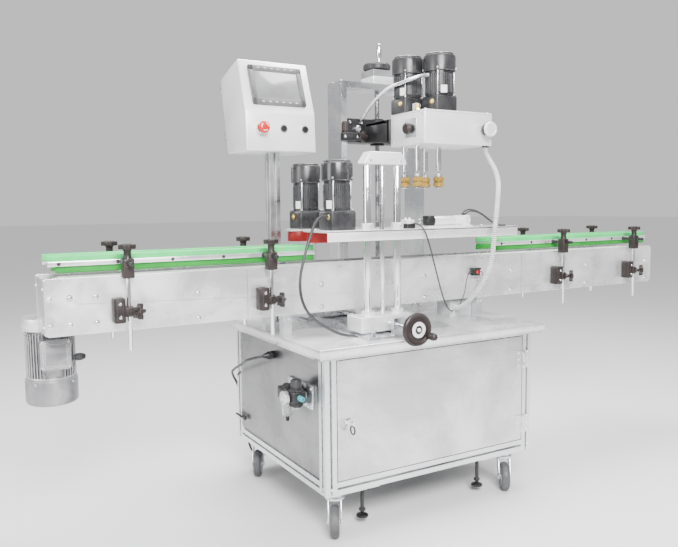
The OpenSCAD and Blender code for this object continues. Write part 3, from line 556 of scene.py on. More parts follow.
aluminium = finish("frame_aluminium", (0.86, 0.87, 0.88), (0.66, 0.67, 0.69), (0.24, 0.4), (900, 900, 25),
                   0.00003, across=5, edge_wear_and_highlight=(0.93, 0.93, 0.94), Metallic=1.0)
sheet_along = finish("stainless_along", (0.93, 0.93, 0.93), (0.6, 0.6, 0.61), (0.2, 0.42), (14, 700, 700),
                     0.00004, across=4.5, edge_wear_and_highlight=(0.96, 0.96, 0.96), Metallic=0.72)
# A darker copy of the same stainless for sheets turned away from the front: painted shade.
sheet_shaded_side = finish("stainless_side_painted_shade", (0.4, 0.4, 0.41), (0.17, 0.17, 0.175), (0.24, 0.44), (700, 14, 700),
                    0.00004, across=3.2, Metallic=1.0)
zinc = finish("zinc_plate", (0.8, 0.81, 0.83), (0.56, 0.57, 0.6), (0.22, 0.4), (160, 160, 160), 0.00003,
              across=22, edge_wear_and_highlight=(0.9, 0.9, 0.9), Metallic=1.0)
black_satin = finish("black_satin", (0.022, 0.022, 0.023), (0.008, 0.008, 0.009), (0.3, 0.48),
                     (500, 500, 500), 0.00006, across=12, edge_wear_and_highlight=(0.07, 0.07, 0.073), Specular_IOR_Level=0.35)

dress("cabinet_frame", aluminium)
# Side and back sheets take the darker stainless: painted shade.
dress("cabinet_panels", sheet_shaded_side)
frame_low, frame_high = drawn("cabinet_frame")
bar = 40
cab_w, cab_d = drawn("door_panel")[0].x + drawn("door_panel")[1].x, frame_high.y
corner_screws = bmesh.new()
for z in (frame_low.z + bar / 2, frame_high.z - bar / 2):
    for x in (bar / 2, cab_w - bar / 2):
        screw(corner_screws, (x, -0.1, z), (0, -1, 0), 4, 1.6)
        screw(corner_screws, (x, cab_d + 0.1, z), (0, 1, 0), 4, 1.6)
    for y in (bar / 2, cab_d - bar / 2):
        screw(corner_screws, (-0.1, y, z), (-1, 0, 0), 4, 1.6)
        screw(corner_screws, (cab_w + 0.1, y, z), (1, 0, 0), 4, 1.6)
piece("frame_corner_screws", corner_screws, zinc, "base", "zinc_bracket")


# ---------------------------------------------------------------- Worktop
# Stainless sheet folded down on all four sides over the frame, brushed along the machine and
# marked by use. It is screwed to the frame from below, so nothing shows on top.
top_low, top_high = drawn("worktop")
skin = bmesh.new()
bmesh.ops.create_cube(skin, size=1)
bmesh.ops.scale(skin, verts=skin.verts, vec=top_high - top_low)
bmesh.ops.translate(skin, verts=skin.verts, vec=(top_high + top_low) / 2)
under = [f for f in skin.faces if f.normal.z < -0.5]
bmesh.ops.delete(skin, geom=under, context="FACES_ONLY")
round_edges(skin, 3.5, 3, [e for e in skin.edges if len(e.link_faces) == 2])
worktop = piece("worktop_sheet", skin, sheet_along, "base", "stainless_sheet")
wall = worktop.modifiers.new("sheet", "SOLIDIFY")
wall.thickness, wall.offset = 0.003, -1
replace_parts(worktop, "worktop")


# ---------------------------------------------------------------- Leveling feet
# A zinc plate across each corner of the frame carries the caster and a threaded foot with a
# rubber pad, screwed up clear of the floor while the machine rolls on its casters.
plate_low, plate_high = drawn("foot_brackets")
foot_places = [(x, y) for y in (plate_low.y + 52, plate_high.y - 42) for x in (166, 650)]
caster_places = [(58, 50), (765, 50), (58, 640), (765, 640)]
plates, stems, pads = bmesh.new(), bmesh.new(), bmesh.new()
for (fx, fy), (cx, cy) in zip(foot_places, caster_places):
    block(plates, (min(cx - 46, fx - 34), fy - 52, plate_high.z - 7),
          (max(cx + 40, fx + 34), fy + 42, plate_high.z), 1)
    for dx, dy in ((-30, -38), (30, -38), (-30, 28), (30, 28)):
        screw(stems, (cx + dx + (6 if cx < 100 else -6), fy + dy, plate_high.z - 7), (0, 0, -1), 5, 4)
    rod(stems, (fx, fy, 31), plate_high.z - 36, 6, edge=0.5)
    for ring in range(28):
        rod(stems, (fx, fy, 52 + 2.8 * ring), 1.4, 6.4, edge=0.3, sides=20)
    rod(stems, (fx, fy, 41), 9, 11, edge=1, sides=6)
    rod(stems, (fx, fy, plate_high.z - 17), 9, 11, edge=1, sides=6)
    turned(pads, [(0, 22), (19, 22), (20, 23), (20, 27), (18, 29), (11, 31.5), (0, 32)], (fx, fy, 0))
bracket = piece("foot_plates", plates, zinc, "base", "zinc_bracket")
piece("foot_stems", stems, black_satin, "base", "zinc_bracket")
piece("foot_pads", pads, black_satin, "base", "black_plastic")
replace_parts(bracket, "foot_brackets")


# ---------------------------------------------------------------- Casters
# Pressed zinc forks on a double ball race, each with an axle bolt and nuts and a rubber tyre on a
# pale hub. The fork turns on its kingpin and the wheel on its axle.
tyre_rubber = finish("tyre_rubber", (0.1, 0.1, 0.105), (0.045, 0.045, 0.05), (0.45, 0.7), (250, 250, 250),
                     0.00015, across=26)
hub_grey = finish("hub_grey", (0.5, 0.51, 0.52), (0.36, 0.37, 0.38), (0.35, 0.5), (200, 200, 200), 0.00006,
                  across=20)
for key, (cx, cy), yaw in zip(("fl", "fr", "rl", "rr"), caster_places, (240, 236, 240, 250)):
    fork_node = "caster_fork_" + key
    fork_high = drawn(fork_node)[1]
    stand = Matrix.Translation((cx, cy, 0)) @ Matrix.Rotation(radians(yaw), 4, "Z")
    trail, axle_z, wheel_half = 36, 50, 15
    fork = bmesh.new()
    rod(fork, (0, 0, 120.5), fork_high.z - 120.5, 26, edge=1.2)
    turned(fork, [(0, 120.6), (27, 120.6), (31, 118), (31, 112), (27, 109.2), (0, 109.2)], (0, 0, 0))
    for side in (-1, 1):
        cheek = [(-25, 113), (25, 113), (trail + 15, 58), (trail + 13, 45), (trail + 6, 40), (trail - 6, 40),
                 (trail - 13, 45), (trail - 16, 54)]
        upright = Matrix.Translation((0, side * (wheel_half + 5) + 2, 0)) @ Matrix.Rotation(pi / 2, 4, "X")
        plate(fork, cheek, 4, 1.2, upright)
        rod(fork, (trail, side * (wheel_half + 6.8), axle_z), 3.1, 8, (0, side, 0), 0.8, 6)
    rod(fork, (trail, -wheel_half - 10, axle_z), 2 * wheel_half + 20, 4.9, (0, 1, 0), 0.8, 20)
    bmesh.ops.transform(fork, matrix=stand, verts=fork.verts)
    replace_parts(piece("caster_fork_pressed_" + key, fork, zinc, "caster_" + key, "zinc_bracket"), fork_node)
    hub, tyre = bmesh.new(), bmesh.new()
    at_axle = stand @ Matrix.Translation((trail, 0, axle_z)) @ Matrix.Rotation(pi / 2, 4, "X")
    turned(hub, [(5, -15), (11, -15), (12.5, -13), (13.5, -9), (33, -9), (36, -13), (38, -13), (38, 13),
                 (36, 13), (33, 9), (13.5, 9), (12.5, 13), (11, 15), (5, 15), (5, -15)], (0, 0, 0))
    turned(tyre, [(36.5, -13.5), (41, -14.4), (46, -12.5), (49, -8.5), (50, -3), (50, 3), (49, 8.5),
                  (46, 12.5), (41, 14.4), (36.5, 13.5), (36.5, -13.5)], (0, 0, 0), steps=56)
    for form in (hub, tyre):
        bmesh.ops.transform(form, matrix=at_axle, verts=form.verts)
    piece("caster_hub_" + key, hub, hub_grey, "wheel_" + key, "wheel_rubber")
    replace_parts(piece("caster_tyre_" + key, tyre, tyre_rubber, "wheel_" + key, "wheel_rubber"),
                "caster_wheel_" + key)


# ---------------------------------------------------------------- Cabinet door
# Folded pan of brushed stainless on two butt hinges at the right, shut by a round key lock with a
# spare key ring. The hinge leaves are held by countersunk screws.
sheet_door = finish("stainless_door", (0.88, 0.88, 0.885), (0.4, 0.4, 0.41), (0.2, 0.4), (14, 700, 700),
                    0.00004, across=2.6, edge_wear_and_highlight=(0.93, 0.93, 0.93), Metallic=0.9)
chrome = finish("polished_chrome", (0.9, 0.9, 0.91), (0.76, 0.76, 0.78), (0.06, 0.18), (60, 60, 60), 0.00001,
                across=16, Metallic=1.0)
dress("door_panel", sheet_door)
soften("door_panel", 1.2)
door_high = drawn("door_panel")[1]
hinge_screws = bmesh.new()
post_screws = bmesh.new()
for z in (240, 475):
    for dz in (-23, 0, 23):
        screw(hinge_screws, (door_high.x - 24, -2.8, z + dz), (0, -1, 0), 3.6, 1.4)
        screw(post_screws, (door_high.x + 20, -2.8, z + dz), (0, -1, 0), 3.6, 1.4)
piece("hinge_screws", hinge_screws, zinc, "door", "zinc_bracket")
piece("hinge_post_screws", post_screws, zinc, "base", "zinc_bracket")

lock_x, lock_z = 80, 365
barrel, ring = bmesh.new(), bmesh.new()
turned(barrel, [(0, 16), (9, 16), (9, 1), (11.5, 0.5), (12, -0.6), (11, -2.2), (7.5, -3), (7, -2.2),
                (0, -2.2)],
       (lock_x, 0, lock_z), (0, 1, 0))
block(barrel, (lock_x - 1.3, -16, lock_z - 4.5), (lock_x + 1.3, -2, lock_z + 4.5), 0.5)
plate(barrel, [(10 * cos(tau * k / 14), 12 * sin(tau * k / 14)) for k in range(14)], 2.6, 0.6,
      Matrix.Translation((lock_x - 1.3, -24, lock_z - 2)) @ Matrix.Rotation(pi / 2, 4, "Y"))
block(barrel, (lock_x - 18, 15, lock_z - 10), (lock_x + 8, 17.5, lock_z + 10), 0.6)
turned(ring, [(12.5 + 2.5 * cos(tau * k / 12), 2.5 * sin(tau * k / 12)) for k in range(13)],
       (lock_x, -27, lock_z - 19), (1, 0, 0))
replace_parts(piece("door_lock_barrel", barrel, chrome, "lock", "lock_chrome"), "door_lock")
piece("door_key_ring", ring, black_satin, "lock", "button_black")


# ---------------------------------------------------------------- Conveyor side plates
# Two brushed stainless plates that carry the chain, joined by round cross spacers whose button
# head screws show on the outside in pairs. Square tube legs stand them on the worktop.
def dome(whole, foot, axis, radius=7.5):
    """A button head screw on a thin washer, with its hexagon socket."""
    turned(whole, [(0, 0), (radius + 2, 0), (radius + 2, 1.1), (radius, 1.2), (radius * 0.93, 2.6),
                   (radius * 0.7, 4.2), (radius * 0.45, 4.7), (radius * 0.42, 2.4), (0, 2.4)], foot, axis, 20)


dress("conveyor_sides", sheet_along)
soften("conveyor_sides", 0.8)
dress("conveyor_frame", aluminium)
dress("drive_shaft", chrome)
soften("drive_shaft", 0.8)
plate_front, plate_rear = drawn("conveyor_sides")[0].y, drawn("conveyor_sides")[1].y
plate_screws = bmesh.new()
for x in (-728, -676, -606, -311, 112, 537, 955, 1376, 1760):
    for z in (779, 705) if x < -400 else (768, 692):
        dome(plate_screws, (x, plate_front, z), (0, -1, 0))
        if x > -620:
            dome(plate_screws, (x, plate_rear, z), (0, 1, 0))
shaft_caps = bmesh.new()
rod(shaft_caps, (-670, plate_front, 768), 0.8, 15, (0, -1, 0), 0.3, 40)
piece("conveyor_shaft_cap", shaft_caps, sheet_along, "base", "stainless_sheet")
end_cover = bmesh.new()
block(end_cover, (drawn("conveyor_sides")[0].x - 0.6, plate_front + 3, 678),
      (drawn("conveyor_sides")[0].x + 2, plate_rear - 3, 832), 0.8)
for y in (238, 374):
    for z in (700, 806):
        screw(end_cover, (drawn("conveyor_sides")[0].x - 0.6, y, z), (-1, 0, 0), 4, 2.4)
piece("conveyor_end_cover", end_cover, sheet_along, "base", "stainless_sheet")
for x in (-28, 783):
    for dx in (7, 23):
        for side, out in ((plate_front + 1, -1), (plate_rear - 1, 1)):
            screw(plate_screws, (x + dx, side, 660), (0, out, 0), 3.6, 2.4)
piece("conveyor_screws", plate_screws, zinc, "base", "zinc_bracket")
dark_joint = finish("seam_dark", (0.06, 0.06, 0.062), (0.03, 0.03, 0.032), (0.5, 0.6), (200, 200, 200), 0.0)
seams = bmesh.new()
for x in (-150, 1010):
    block(seams, (x - 0.5, plate_front - 0.2, 676), (x + 0.5, plate_front + 0.4, 834), 0)
    block(seams, (x - 0.5, plate_rear - 0.4, 676), (x + 0.5, plate_rear + 0.2, 834), 0)
piece("conveyor_seams", seams, dark_joint, "base", "stainless_sheet")

box_grey = finish("painted_grey", (0.5, 0.51, 0.52), (0.4, 0.41, 0.42), (0.35, 0.5), (400, 400, 400), 0.00008,
                  across=18, edge_wear_and_highlight=(0.68, 0.68, 0.68))
junction = bmesh.new()
block(junction, (678.6, 248.6, 604.2), (781.4, 331.4, 658), 2.5, 3)
block(junction, (677, 247, 656), (783, 333, 666), 2.5, 3)
for x in (688, 772):
    for y in (257, 323):
        screw(junction, (x, y, 665.6), (0, 0, 1), 3.4, 1.8)
rod(junction, (698, 249, 640), 6, 12, (0, -1, 0), 1, 6)
rod(junction, (687, 249, 629), 4, 6.5, (0, -1, 0), 0.8, 6)
piece("junction_box", junction, box_grey, "base", "gearbox_paint")


# ---------------------------------------------------------------- Conveyor chain
# Flat-top chain of pale acetal plates on hinge pins. It runs round a sprocket at the gear motor's
# end and an idler at the other, and comes back under the wear strips.
chain_plate = finish("chain_acetal", (0.8, 0.8, 0.79), (0.62, 0.62, 0.62), (0.32, 0.5), (90, 90, 90), 0.00003,
                     across=14, edge_wear_and_highlight=(0.86, 0.86, 0.85))
chain_low, chain_high = drawn("conveyor_chain")
chain_r = (chain_high.z - chain_low.z) / 2 - 2.5
chain_mid = (chain_low + chain_high) / 2
chain_run = chain_high.x - chain_low.x - 2 * (chain_r + 2.5)
chain_round = 2 * chain_run + tau * chain_r
link_count = 136
half_pitch = chain_round / link_count / 2
links = bmesh.new()
for k in range(link_count):
    s = chain_round * k / link_count
    if s < chain_run:
        x, z, turn = s - chain_run / 2, chain_r, 0
    elif s < chain_run + pi * chain_r:
        turn = (s - chain_run) / chain_r
        x, z = chain_run / 2 + chain_r * sin(turn), chain_r * cos(turn)
    elif s < 2 * chain_run + pi * chain_r:
        x, z, turn = chain_run / 2 - (s - chain_run - pi * chain_r), -chain_r, pi
    else:
        turn = pi + (s - 2 * chain_run - pi * chain_r) / chain_r
        x, z = -chain_run / 2 + chain_r * sin(turn), chain_r * cos(turn)
    seat = Matrix.Translation((chain_mid.x + x, chain_mid.y, chain_mid.z + z)) @ Matrix.Rotation(turn, 4, "Y")
    plate(links, [(-half_pitch + 1, -40.8), (half_pitch - 1, -40.8), (half_pitch - 0.8, -12),
                  (half_pitch + 2.4, -7),
                  (half_pitch + 2.4, 7), (half_pitch - 0.8, 12), (half_pitch - 1, 40.8),
                  (-half_pitch + 1, 40.8),
                  (-half_pitch + 0.8, 12), (-half_pitch + 4, 7), (-half_pitch + 4, -7),
                  (-half_pitch + 0.8, -12)],
          4.6, 0.4, seat @ Matrix.Translation((0, 0, -2.3)), 1)
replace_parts(piece("chain_links", links, chain_plate, "base", "chain_plastic", 25), "conveyor_chain")


# ---------------------------------------------------------------- Guide rails
# Green low-friction strips with a pale upper bead and a deeper lower one, riveted to a stainless
# band. Each rail is carried by two round cross rods that slide in the stands to set its gap.
green_pale = finish("rail_green_pale", (0.045, 0.62, 0.17), (0.025, 0.46, 0.11), (0.32, 0.48), (8, 300, 300),
                    0.00004, across=7, edge_wear_and_highlight=(0.14, 0.74, 0.3), Specular_IOR_Level=0.3)
green_deep = finish("rail_green_deep", (0.02, 0.33, 0.04), (0.012, 0.22, 0.025), (0.32, 0.5), (8, 300, 300),
                    0.00004,
                    across=7, edge_wear_and_highlight=(0.06, 0.45, 0.1), Specular_IOR_Level=0.3)
for key in ("front_left", "rear_left", "front_right", "rear_right"):
    node, body = "rail_" + key, "guide_" + key
    low, high = drawn(node)
    front = key.startswith("front")
    facing = 1 if front else -1
    face_y = high.y if front else low.y
    lengthwise = Matrix(((0, 0, 1, low.x), (facing, 0, 0, face_y), (0, 1, 0, low.z), (0, 0, 0, 1)))
    long = high.x - low.x
    strips = {"pale": bmesh.new(), "deep": bmesh.new(), "band": bmesh.new(), "rods": bmesh.new()}
    trim = (12, 34) if "left" in key else (0, 0)
    plate(strips["pale"], [(-9, 34), (-9, 47), (-6, 50), (-2, 50), (0, 47), (0, 32), (-2, 30), (-6, 30)],
          long - trim[0], 0.5, lengthwise @ Matrix.Translation((0, 0, trim[0])))
    plate(strips["deep"], [(-9, 2.5), (-7, 0), (-2, 0), (0, 3), (0, 20), (-2, 22), (-7, 22), (-9, 19)],
          long - trim[1], 0.5, lengthwise @ Matrix.Translation((0, 0, trim[1])))
    plate(strips["band"], [(-17, 19), (-5, 19), (-5, 33), (-17, 33)],
          long - trim[0], 1.2, lengthwise @ Matrix.Translation((0, 0, trim[0])))
    for x in ((-521, -79) if "left" in key else (1213, 1646)):
        foot_y = low.y if front else high.y
        rod(strips["rods"], (x, foot_y, low.z + 25), 102, 6, (0, facing, 0), 1)
        rod(strips["rods"], (x, face_y - facing * 19, low.z + 25), 4, 9, (0, facing, 0), 0.8, 6)
    for x in range(int(low.x) + 40, int(high.x), 160):
        dome(strips["rods"], (x, face_y - facing * 17, low.z + 26), (0, -facing, 0), 3.4)
    whole_rail = piece("rail_bead_" + key, strips["pale"], green_pale, body, "rail_green")
    piece("rail_foot_" + key, strips["deep"], green_deep, body, "rail_green")
    piece("rail_band_" + key, strips["band"], sheet_along, body, "stainless_sheet")
    piece("rail_rods_" + key, strips["rods"], black_satin, body, "shaft_chrome")
    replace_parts(whole_rail, node)


# ---------------------------------------------------------------- Guide rail stands
# Black moulded clamps bolted to the side plates. Each holds an upright steel rod with a star knob,
# and a cross block on the rod's top holds the rail's cross rod with a flat knob.
moulded = finish("moulded_black", (0.026, 0.018, 0.017), (0.009, 0.007, 0.007), (0.34, 0.55), (350, 350, 350),
                 0.00012, across=16, edge_wear_and_highlight=(0.07, 0.05, 0.048), Specular_IOR_Level=0.35)
blocks, knobs, bars = bmesh.new(), bmesh.new(), bmesh.new()
stand_y = 193
for x in (-521, -79, 1213, 1646):
    for middle, out in ((stand_y, -1), (plate_front + plate_rear - stand_y, 1)):
        near, wall, grip_z = middle + out * 12, middle - out * 26.6, 734
        block(blocks, (x - 44, min(near, wall), grip_z - 32), (x - 12, max(near, wall), grip_z + 40), 5, 3)
        block(blocks, (x - 36, min(near, near + out * 1.6), grip_z - 24),
              (x - 20, max(near, near + out * 1.6), grip_z + 32), 0.7)
        block(blocks, (x - 14, middle - 12, grip_z - 12), (x + 12, middle + 12, grip_z + 12), 4, 3)
        rod(blocks, (x, middle, grip_z - 15), 30, 10.5, edge=1.5)
        rod(bars, (x, middle, 622), 238, 6, edge=1)
        for z in (grip_z - 15, grip_z + 23):
            screw(bars, (x - 28, near + out * 1.2, z), (0, out, 0), 4.4, 3)
        way = Vector((0.656, 0.755 * out, 0))
        rod(blocks, (x, middle, grip_z), 26, 7, way, 0.8)
        reach = [18 + 6.5 * cos(5 * tau * k / 60) for k in range(60)]
        plate(knobs, [(r * cos(tau * k / 60), r * sin(tau * k / 60)) for k, r in enumerate(reach)], 15, 2.4,
              aimed(Vector((x, middle, grip_z)) + way * 24.5, way))
        turned(knobs, [(0, 39), (9, 39), (8, 42), (0, 43)], (x, middle, grip_z), way, 24)
        block(blocks, (x - 16, middle - 14 if out < 0 else middle - 16, 828),
              (x + 16, middle + 16 if out < 0 else middle + 14, 884), 4, 3)
        rod(blocks, (x, near - out * 0.4, 871), 3.4, 12, (0, out, 0), 0.8)
        for z in (840, 856):
            screw(bars, (x + 15.4, middle, z), (1, 0, 0), 3.4, 2.4)
        turned(knobs, [(0, 883), (13, 883), (12, 886), (10.5, 890), (10.5, 903), (13, 909.5), (0, 909.5)],
               (x, middle, 0),
               steps=32)
        rim = [23.4 + 1.6 * cos(8 * tau * k / 64) for k in range(64)]
        plate(knobs, [(r * cos(tau * k / 64), r * sin(tau * k / 64)) for k, r in enumerate(rim)], 13, 3,
              Matrix.Translation((x, middle, 910)), 3)
        turned(knobs, [(0, 922), (14, 922), (13, 924.6), (0, 925)], (x, middle, 0), steps=32)
stand_blocks = piece("stand_blocks", blocks, moulded, "base", "black_plastic")
piece("stand_knobs", knobs, moulded, "base", "black_plastic")
piece("stand_rods", bars, chrome, "base", "shaft_chrome")
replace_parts(stand_blocks, "rail_clamps")


# ---------------------------------------------------------------- Conveyor gear motor
# Worm gearbox on the rear side plate with a flange mounted motor hanging below it: cast aluminium
# in silver paint, with cooling fins, a pressed fan cover and a square terminal box.
# Its corner colour is twice as light as the paint: mostly a painted edge highlight.
cast_silver = finish("cast_silver", (0.4, 0.4, 0.41), (0.22, 0.22, 0.23), (0.34, 0.5), (260, 260, 260),
                     0.0001,
                     across=14, edge_wear_and_highlight=(0.8, 0.8, 0.81), Metallic=0.75)
motor_x, motor_y = -702, 438
gear = bmesh.new()
block(gear, (-728, 392.4, 704.2), (-632, 478, 820), 9, 3)
for z in (716, 810):
    for x in (-718, -642):
        screw(gear, (x, 477, z), (0, 1, 0), 5, 4)
turned(gear, [(0, 478), (30, 478), (32, 480), (32, 483), (24, 484), (20, 481), (0, 481)], (-670, 0, 768),
       (0, 1, 0))
for k in range(9):
    block(gear, (-729.4, 402 + 8 * k, 722), (-726, 405 + 8 * k, 804), 0.8, 1)
    block(gear, (-634, 402 + 8 * k, 722), (-631.2, 405 + 8 * k, 804), 0.8, 1)
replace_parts(piece("worm_gearbox", gear, cast_silver, "base", "gearbox_paint"), "drive_gearbox")

motor, cover, lid = bmesh.new(), bmesh.new(), bmesh.new()
flange = bmesh.new()
turned(flange, [(0, 668), (77, 668), (79, 670), (79, 674.8), (0, 674.8)], (motor_x, motor_y, 0), steps=64)
notch = Vector((drawn("conveyor_sides")[0].x - motor_x, plate_rear - motor_y))
low_turn, high_turn = -35.1, 240.7
plate(flange, [(79 * cos(radians(low_turn + (high_turn - low_turn) * k / 56)),
                79 * sin(radians(low_turn + (high_turn - low_turn) * k / 56))) for k in range(57)]
      + [(notch.x - 1.6, notch.y + 1.6)], 28.6, 1.6, Matrix.Translation((motor_x, motor_y, 675.2)), 2)
piece("motor_flange", flange, sheet_along, "base", "gearbox_paint")
for k in range(8):
    a = tau * (k + 0.5) / 8
    rod(motor, (motor_x + 72 * cos(a), motor_y + 72 * sin(a), 662), 6.4, 5.5, (0, 0, 1), 0.8, 6)
turned(motor, [(0, 520), (62, 520), (62, 668.2), (0, 668.2)], (motor_x, motor_y, 0), steps=56)
for k in range(44):
    a = tau * k / 44
    if abs(a - 1.5 * pi) > 0.42:
        block(motor, (60, -1.3, 524), (71, 1.3, 660), 0.7, 1,
              Matrix.Translation((motor_x, motor_y, 0)) @ Matrix.Rotation(a, 4, "Z"))
turned(motor, [(60, 512), (71, 514), (72, 518), (72, 524), (70, 527), (60, 528)], (motor_x, motor_y, 0),
       steps=56)
turned(cover, [(0, 443), (50, 443), (52, 442), (64, 442), (71, 445), (75, 452), (75, 514), (74, 519),
               (70, 520),
               (70, 516), (0, 516)], (motor_x, motor_y, 0), steps=56)
for ring, radius in enumerate((22, 32, 42)):
    for k in range(6 + 4 * ring):
        a = tau * k / (6 + 4 * ring)
        block(cover, (radius - 3.6, -2.6, 441), (radius + 3.6, 2.6, 444.4), 0.6, 1,
              Matrix.Translation((motor_x, motor_y, 0)) @ Matrix.Rotation(a, 4, "Z"))
for k in range(4):
    a = tau * (k + 0.5) / 4
    screw(cover, (motor_x + 74.6 * cos(a), motor_y + 74.6 * sin(a), 509), (cos(a), sin(a), 0), 4, 2.4)
to_front = Matrix.Translation((-702, 374, 604)) @ Matrix.Rotation(pi / 2, 4, "X")
lid_outlines = [[(sx * (w / 2 - r) + r * cos(a), sy * (t / 2 - r) + r * sin(a))
                 for sx, sy, start in ((1, 1, 0), (-1, 1, pi / 2), (-1, -1, pi), (1, -1, 1.5 * pi))
                 for a in (start + pi / 2 * k / 5 for k in range(6))] for w, t,
                r in ((80, 84, 9), (74, 78, 8), (84, 88, 11),
                                                                                   (70, 74, 8), (60, 64, 6))]
for outline, foot, thick, edge in zip(lid_outlines, (0, 33, 35.5, 43.4, 43.6), (33.6, 3, 8, 1.6, 3.6),
                                      (2, 0, 2, 0.5, 1.4)):
    plate(lid, outline, thick, edge, to_front @ Matrix.Translation((0, 0, foot)), 2)
for x in (-738, -666):
    for z in (568, 640):
        screw(lid, (x, 330.8, z), (0, -1, 0), 3.2, 2)
main_motor = piece("motor_body", motor, cast_silver, "base", "gearbox_paint")
piece("motor_fan_cover", cover, cast_silver, "base", "gearbox_paint")
piece("motor_terminal_box", lid, cast_silver, "base", "gearbox_paint")
gland = bmesh.new()
rod(gland, (-662.4, 352, 588), 12, 11, (1, 0, 0), 1.2, 6)
turned(gland, [(0, 10), (8.4, 10), (8.4, 16), (10.4, 18), (10.6, 34), (9, 40), (6.5, 45), (4, 46), (4, 38),
               (0, 38)],
       (-662.4, 352, 588), (1, 0, 0))
for k in range(12):
    block(gland, (9.6, -1, 19), (11.2, 1, 33), 0.4, 1,
          aimed((-662.4, 352, 588), (1, 0, 0)) @ Matrix.Rotation(tau * k / 12, 4, "Z"))
piece("motor_gland", gland, black_satin, "base", "black_plastic")
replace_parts(main_motor, "drive_motor")


# ---------------------------------------------------------------- Control post and box
# Slotted aluminium bar on the worktop with a folded stainless box on top. The box has a bright
# brushed face, a rear door on a piano hinge, and the operator panel let into its slanted face.
steel_bright = finish("steel_bright", (0.96, 0.96, 0.96), (0.84, 0.84, 0.845), (0.28, 0.44), (22, 600, 600),
                      0.00003, across=3.4, edge_wear_and_highlight=(0.98, 0.98, 0.98), Metallic=0.45)
dress("control_post", aluminium)
soften("control_post", 0.8)
post_fixings = bmesh.new()
for y in (462, 538):
    for x in (62, 82):
        screw(post_fixings, (x, y, 610), (0, 0, 1), 4.5, 4)
piece("post_fixings", post_fixings, zinc, "base", "zinc_bracket")
box_low, box_high = drawn("control_box")
across_box = Matrix(((0, 0, 1, box_low.x), (1, 0, 0, 0), (0, 1, 0, 0), (0, 0, 0, 1)))
shell, trim = bmesh.new(), bmesh.new()
plate(shell, [(410, 1213), (416, 1343), (480, 1527), (645, 1480), (585, 1213)], box_high.x - box_low.x, 4.5,
      across_box, 3)
plate(trim, [(600, 1228), (650, 1465), (652.6, 1464.4), (602.6, 1227.4)], 247, 0.8,
      across_box @ Matrix.Translation((0, 0, 8)))
for z in (1262, 1430):
    rod(trim, (box_low.x + 6, 612 + (z - 1262) * 0.22, z), 26, 4, (0, 0.22, 1), 0.6, 16)
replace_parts(piece("control_box_shell", shell, steel_bright, "base", "stainless_sheet"), "control_box")
# The hinge strip takes the darker stainless: painted shade.
piece("control_box_door", trim, sheet_shaded_side, "base", "stainless_sheet")

screen_grey = finish("bezel_grey", (0.11, 0.11, 0.115), (0.065, 0.065, 0.07), (0.36, 0.5), (300, 300, 300),
                     0.00006, across=12, edge_wear_and_highlight=(0.2, 0.2, 0.2))
screen_film = finish("screen_film", (0.23, 0.235, 0.24), (0.15, 0.15, 0.155), (0.12, 0.24), (40, 40, 40), 0.0,
                     across=7, Coat_Weight=0.6)
on_face = (Matrix.Translation((box_low.x + 131.5, 416, 1343)) @ Matrix.Rotation(atan2(184, 64), 4, "X")
           @ Matrix.Translation((0, 100, 0)))
bezel, film, slots = bmesh.new(), bmesh.new(), bmesh.new()


def rounded(wide, tall, radius, middle=(0, 0), steps=5):
    """The outline of a rectangle with round corners."""
    return [(middle[0] + sx * (wide / 2 - radius) + radius * cos(a),
             middle[1] + sy * (tall / 2 - radius) + radius * sin(a))
            for sx, sy, start in ((1, 1, 0), (-1, 1, pi / 2), (-1, -1, pi), (1, -1, 1.5 * pi))
            for a in (start + pi / 2 * k / steps for k in range(steps + 1))]


plate(bezel, rounded(202, 146, 7), 4.2, 0.8, on_face @ Matrix.Translation((0, 0, 0.3)))
for sx, sy, wide, tall in ((0, 62.5, 202, 21), (0, -60.5, 202, 25), (-91, 0, 20, 146), (91, 0, 20, 146)):
    plate(bezel, rounded(wide, tall, 6, (sx, sy)), 3, 0.8, on_face @ Matrix.Translation((0, 0, 4.2)))
plate(film, rounded(162, 102, 2, (0, 2)), 1, 0.2, on_face @ Matrix.Translation((0, 0, 4.6)))
for k in range(6):
    plate(slots, rounded(9, 4, 1.5, (-62 + 25 * k, -62)), 1.2, 0.3, on_face @ Matrix.Translation((0, 0, 6.9)))
    plate(slots, rounded(9, 3, 1.2, (-62 + 25 * k, 64)), 0.9, 0.3, on_face @ Matrix.Translation((0, 0, 6.9)))
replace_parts(piece("screen_bezel", bezel, screen_grey, "base", "screen_glass"), "touch_screen")
piece("screen_film", film, screen_film, "base", "screen_glass")
piece("screen_keys", slots, box_grey, "base", "screen_glass")

red_knob = finish("button_red", (0.62, 0.014, 0.01), (0.4, 0.008, 0.007), (0.25, 0.42), (120, 120, 120),
                  0.00003,
                  across=22, edge_wear_and_highlight=(0.8, 0.06, 0.04), Specular_IOR_Level=0.4)
collars = bmesh.new()
stop_x, push_x, button_z = box_low.x + 53, (box_low.x + 137, box_low.x + 219), box_low.z + 78
face_y = 412.6
turned(collars, [(12, 0), (17.5, 0), (17.5, 2), (15.5, 5.5), (12, 6)], (stop_x, face_y, button_z),
       (0, -1, 0), 36)
for x in push_x:
    turned(collars, [(11.2, 0), (15.5, 0), (15.5, 2), (14, 5), (11.2, 5.4)], (x, face_y, button_z),
           (0, -1, 0), 36)
piece("button_collars", collars, chrome, "base", "shaft_chrome")
mushroom = bmesh.new()
turned(mushroom, [(0, -20), (11, -20), (11, 14), (13, 16), (14, 21), (19, 24), (20, 28), (19.4, 32),
                  (16, 35.4), (8, 37.4),
                  (0, 38)], (stop_x, face_y, button_z), (0, -1, 0), 44)
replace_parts(piece("stop_mushroom", mushroom, red_knob, "stop_mushroom", "button_red"), "e_stop")
arrows = bmesh.new()
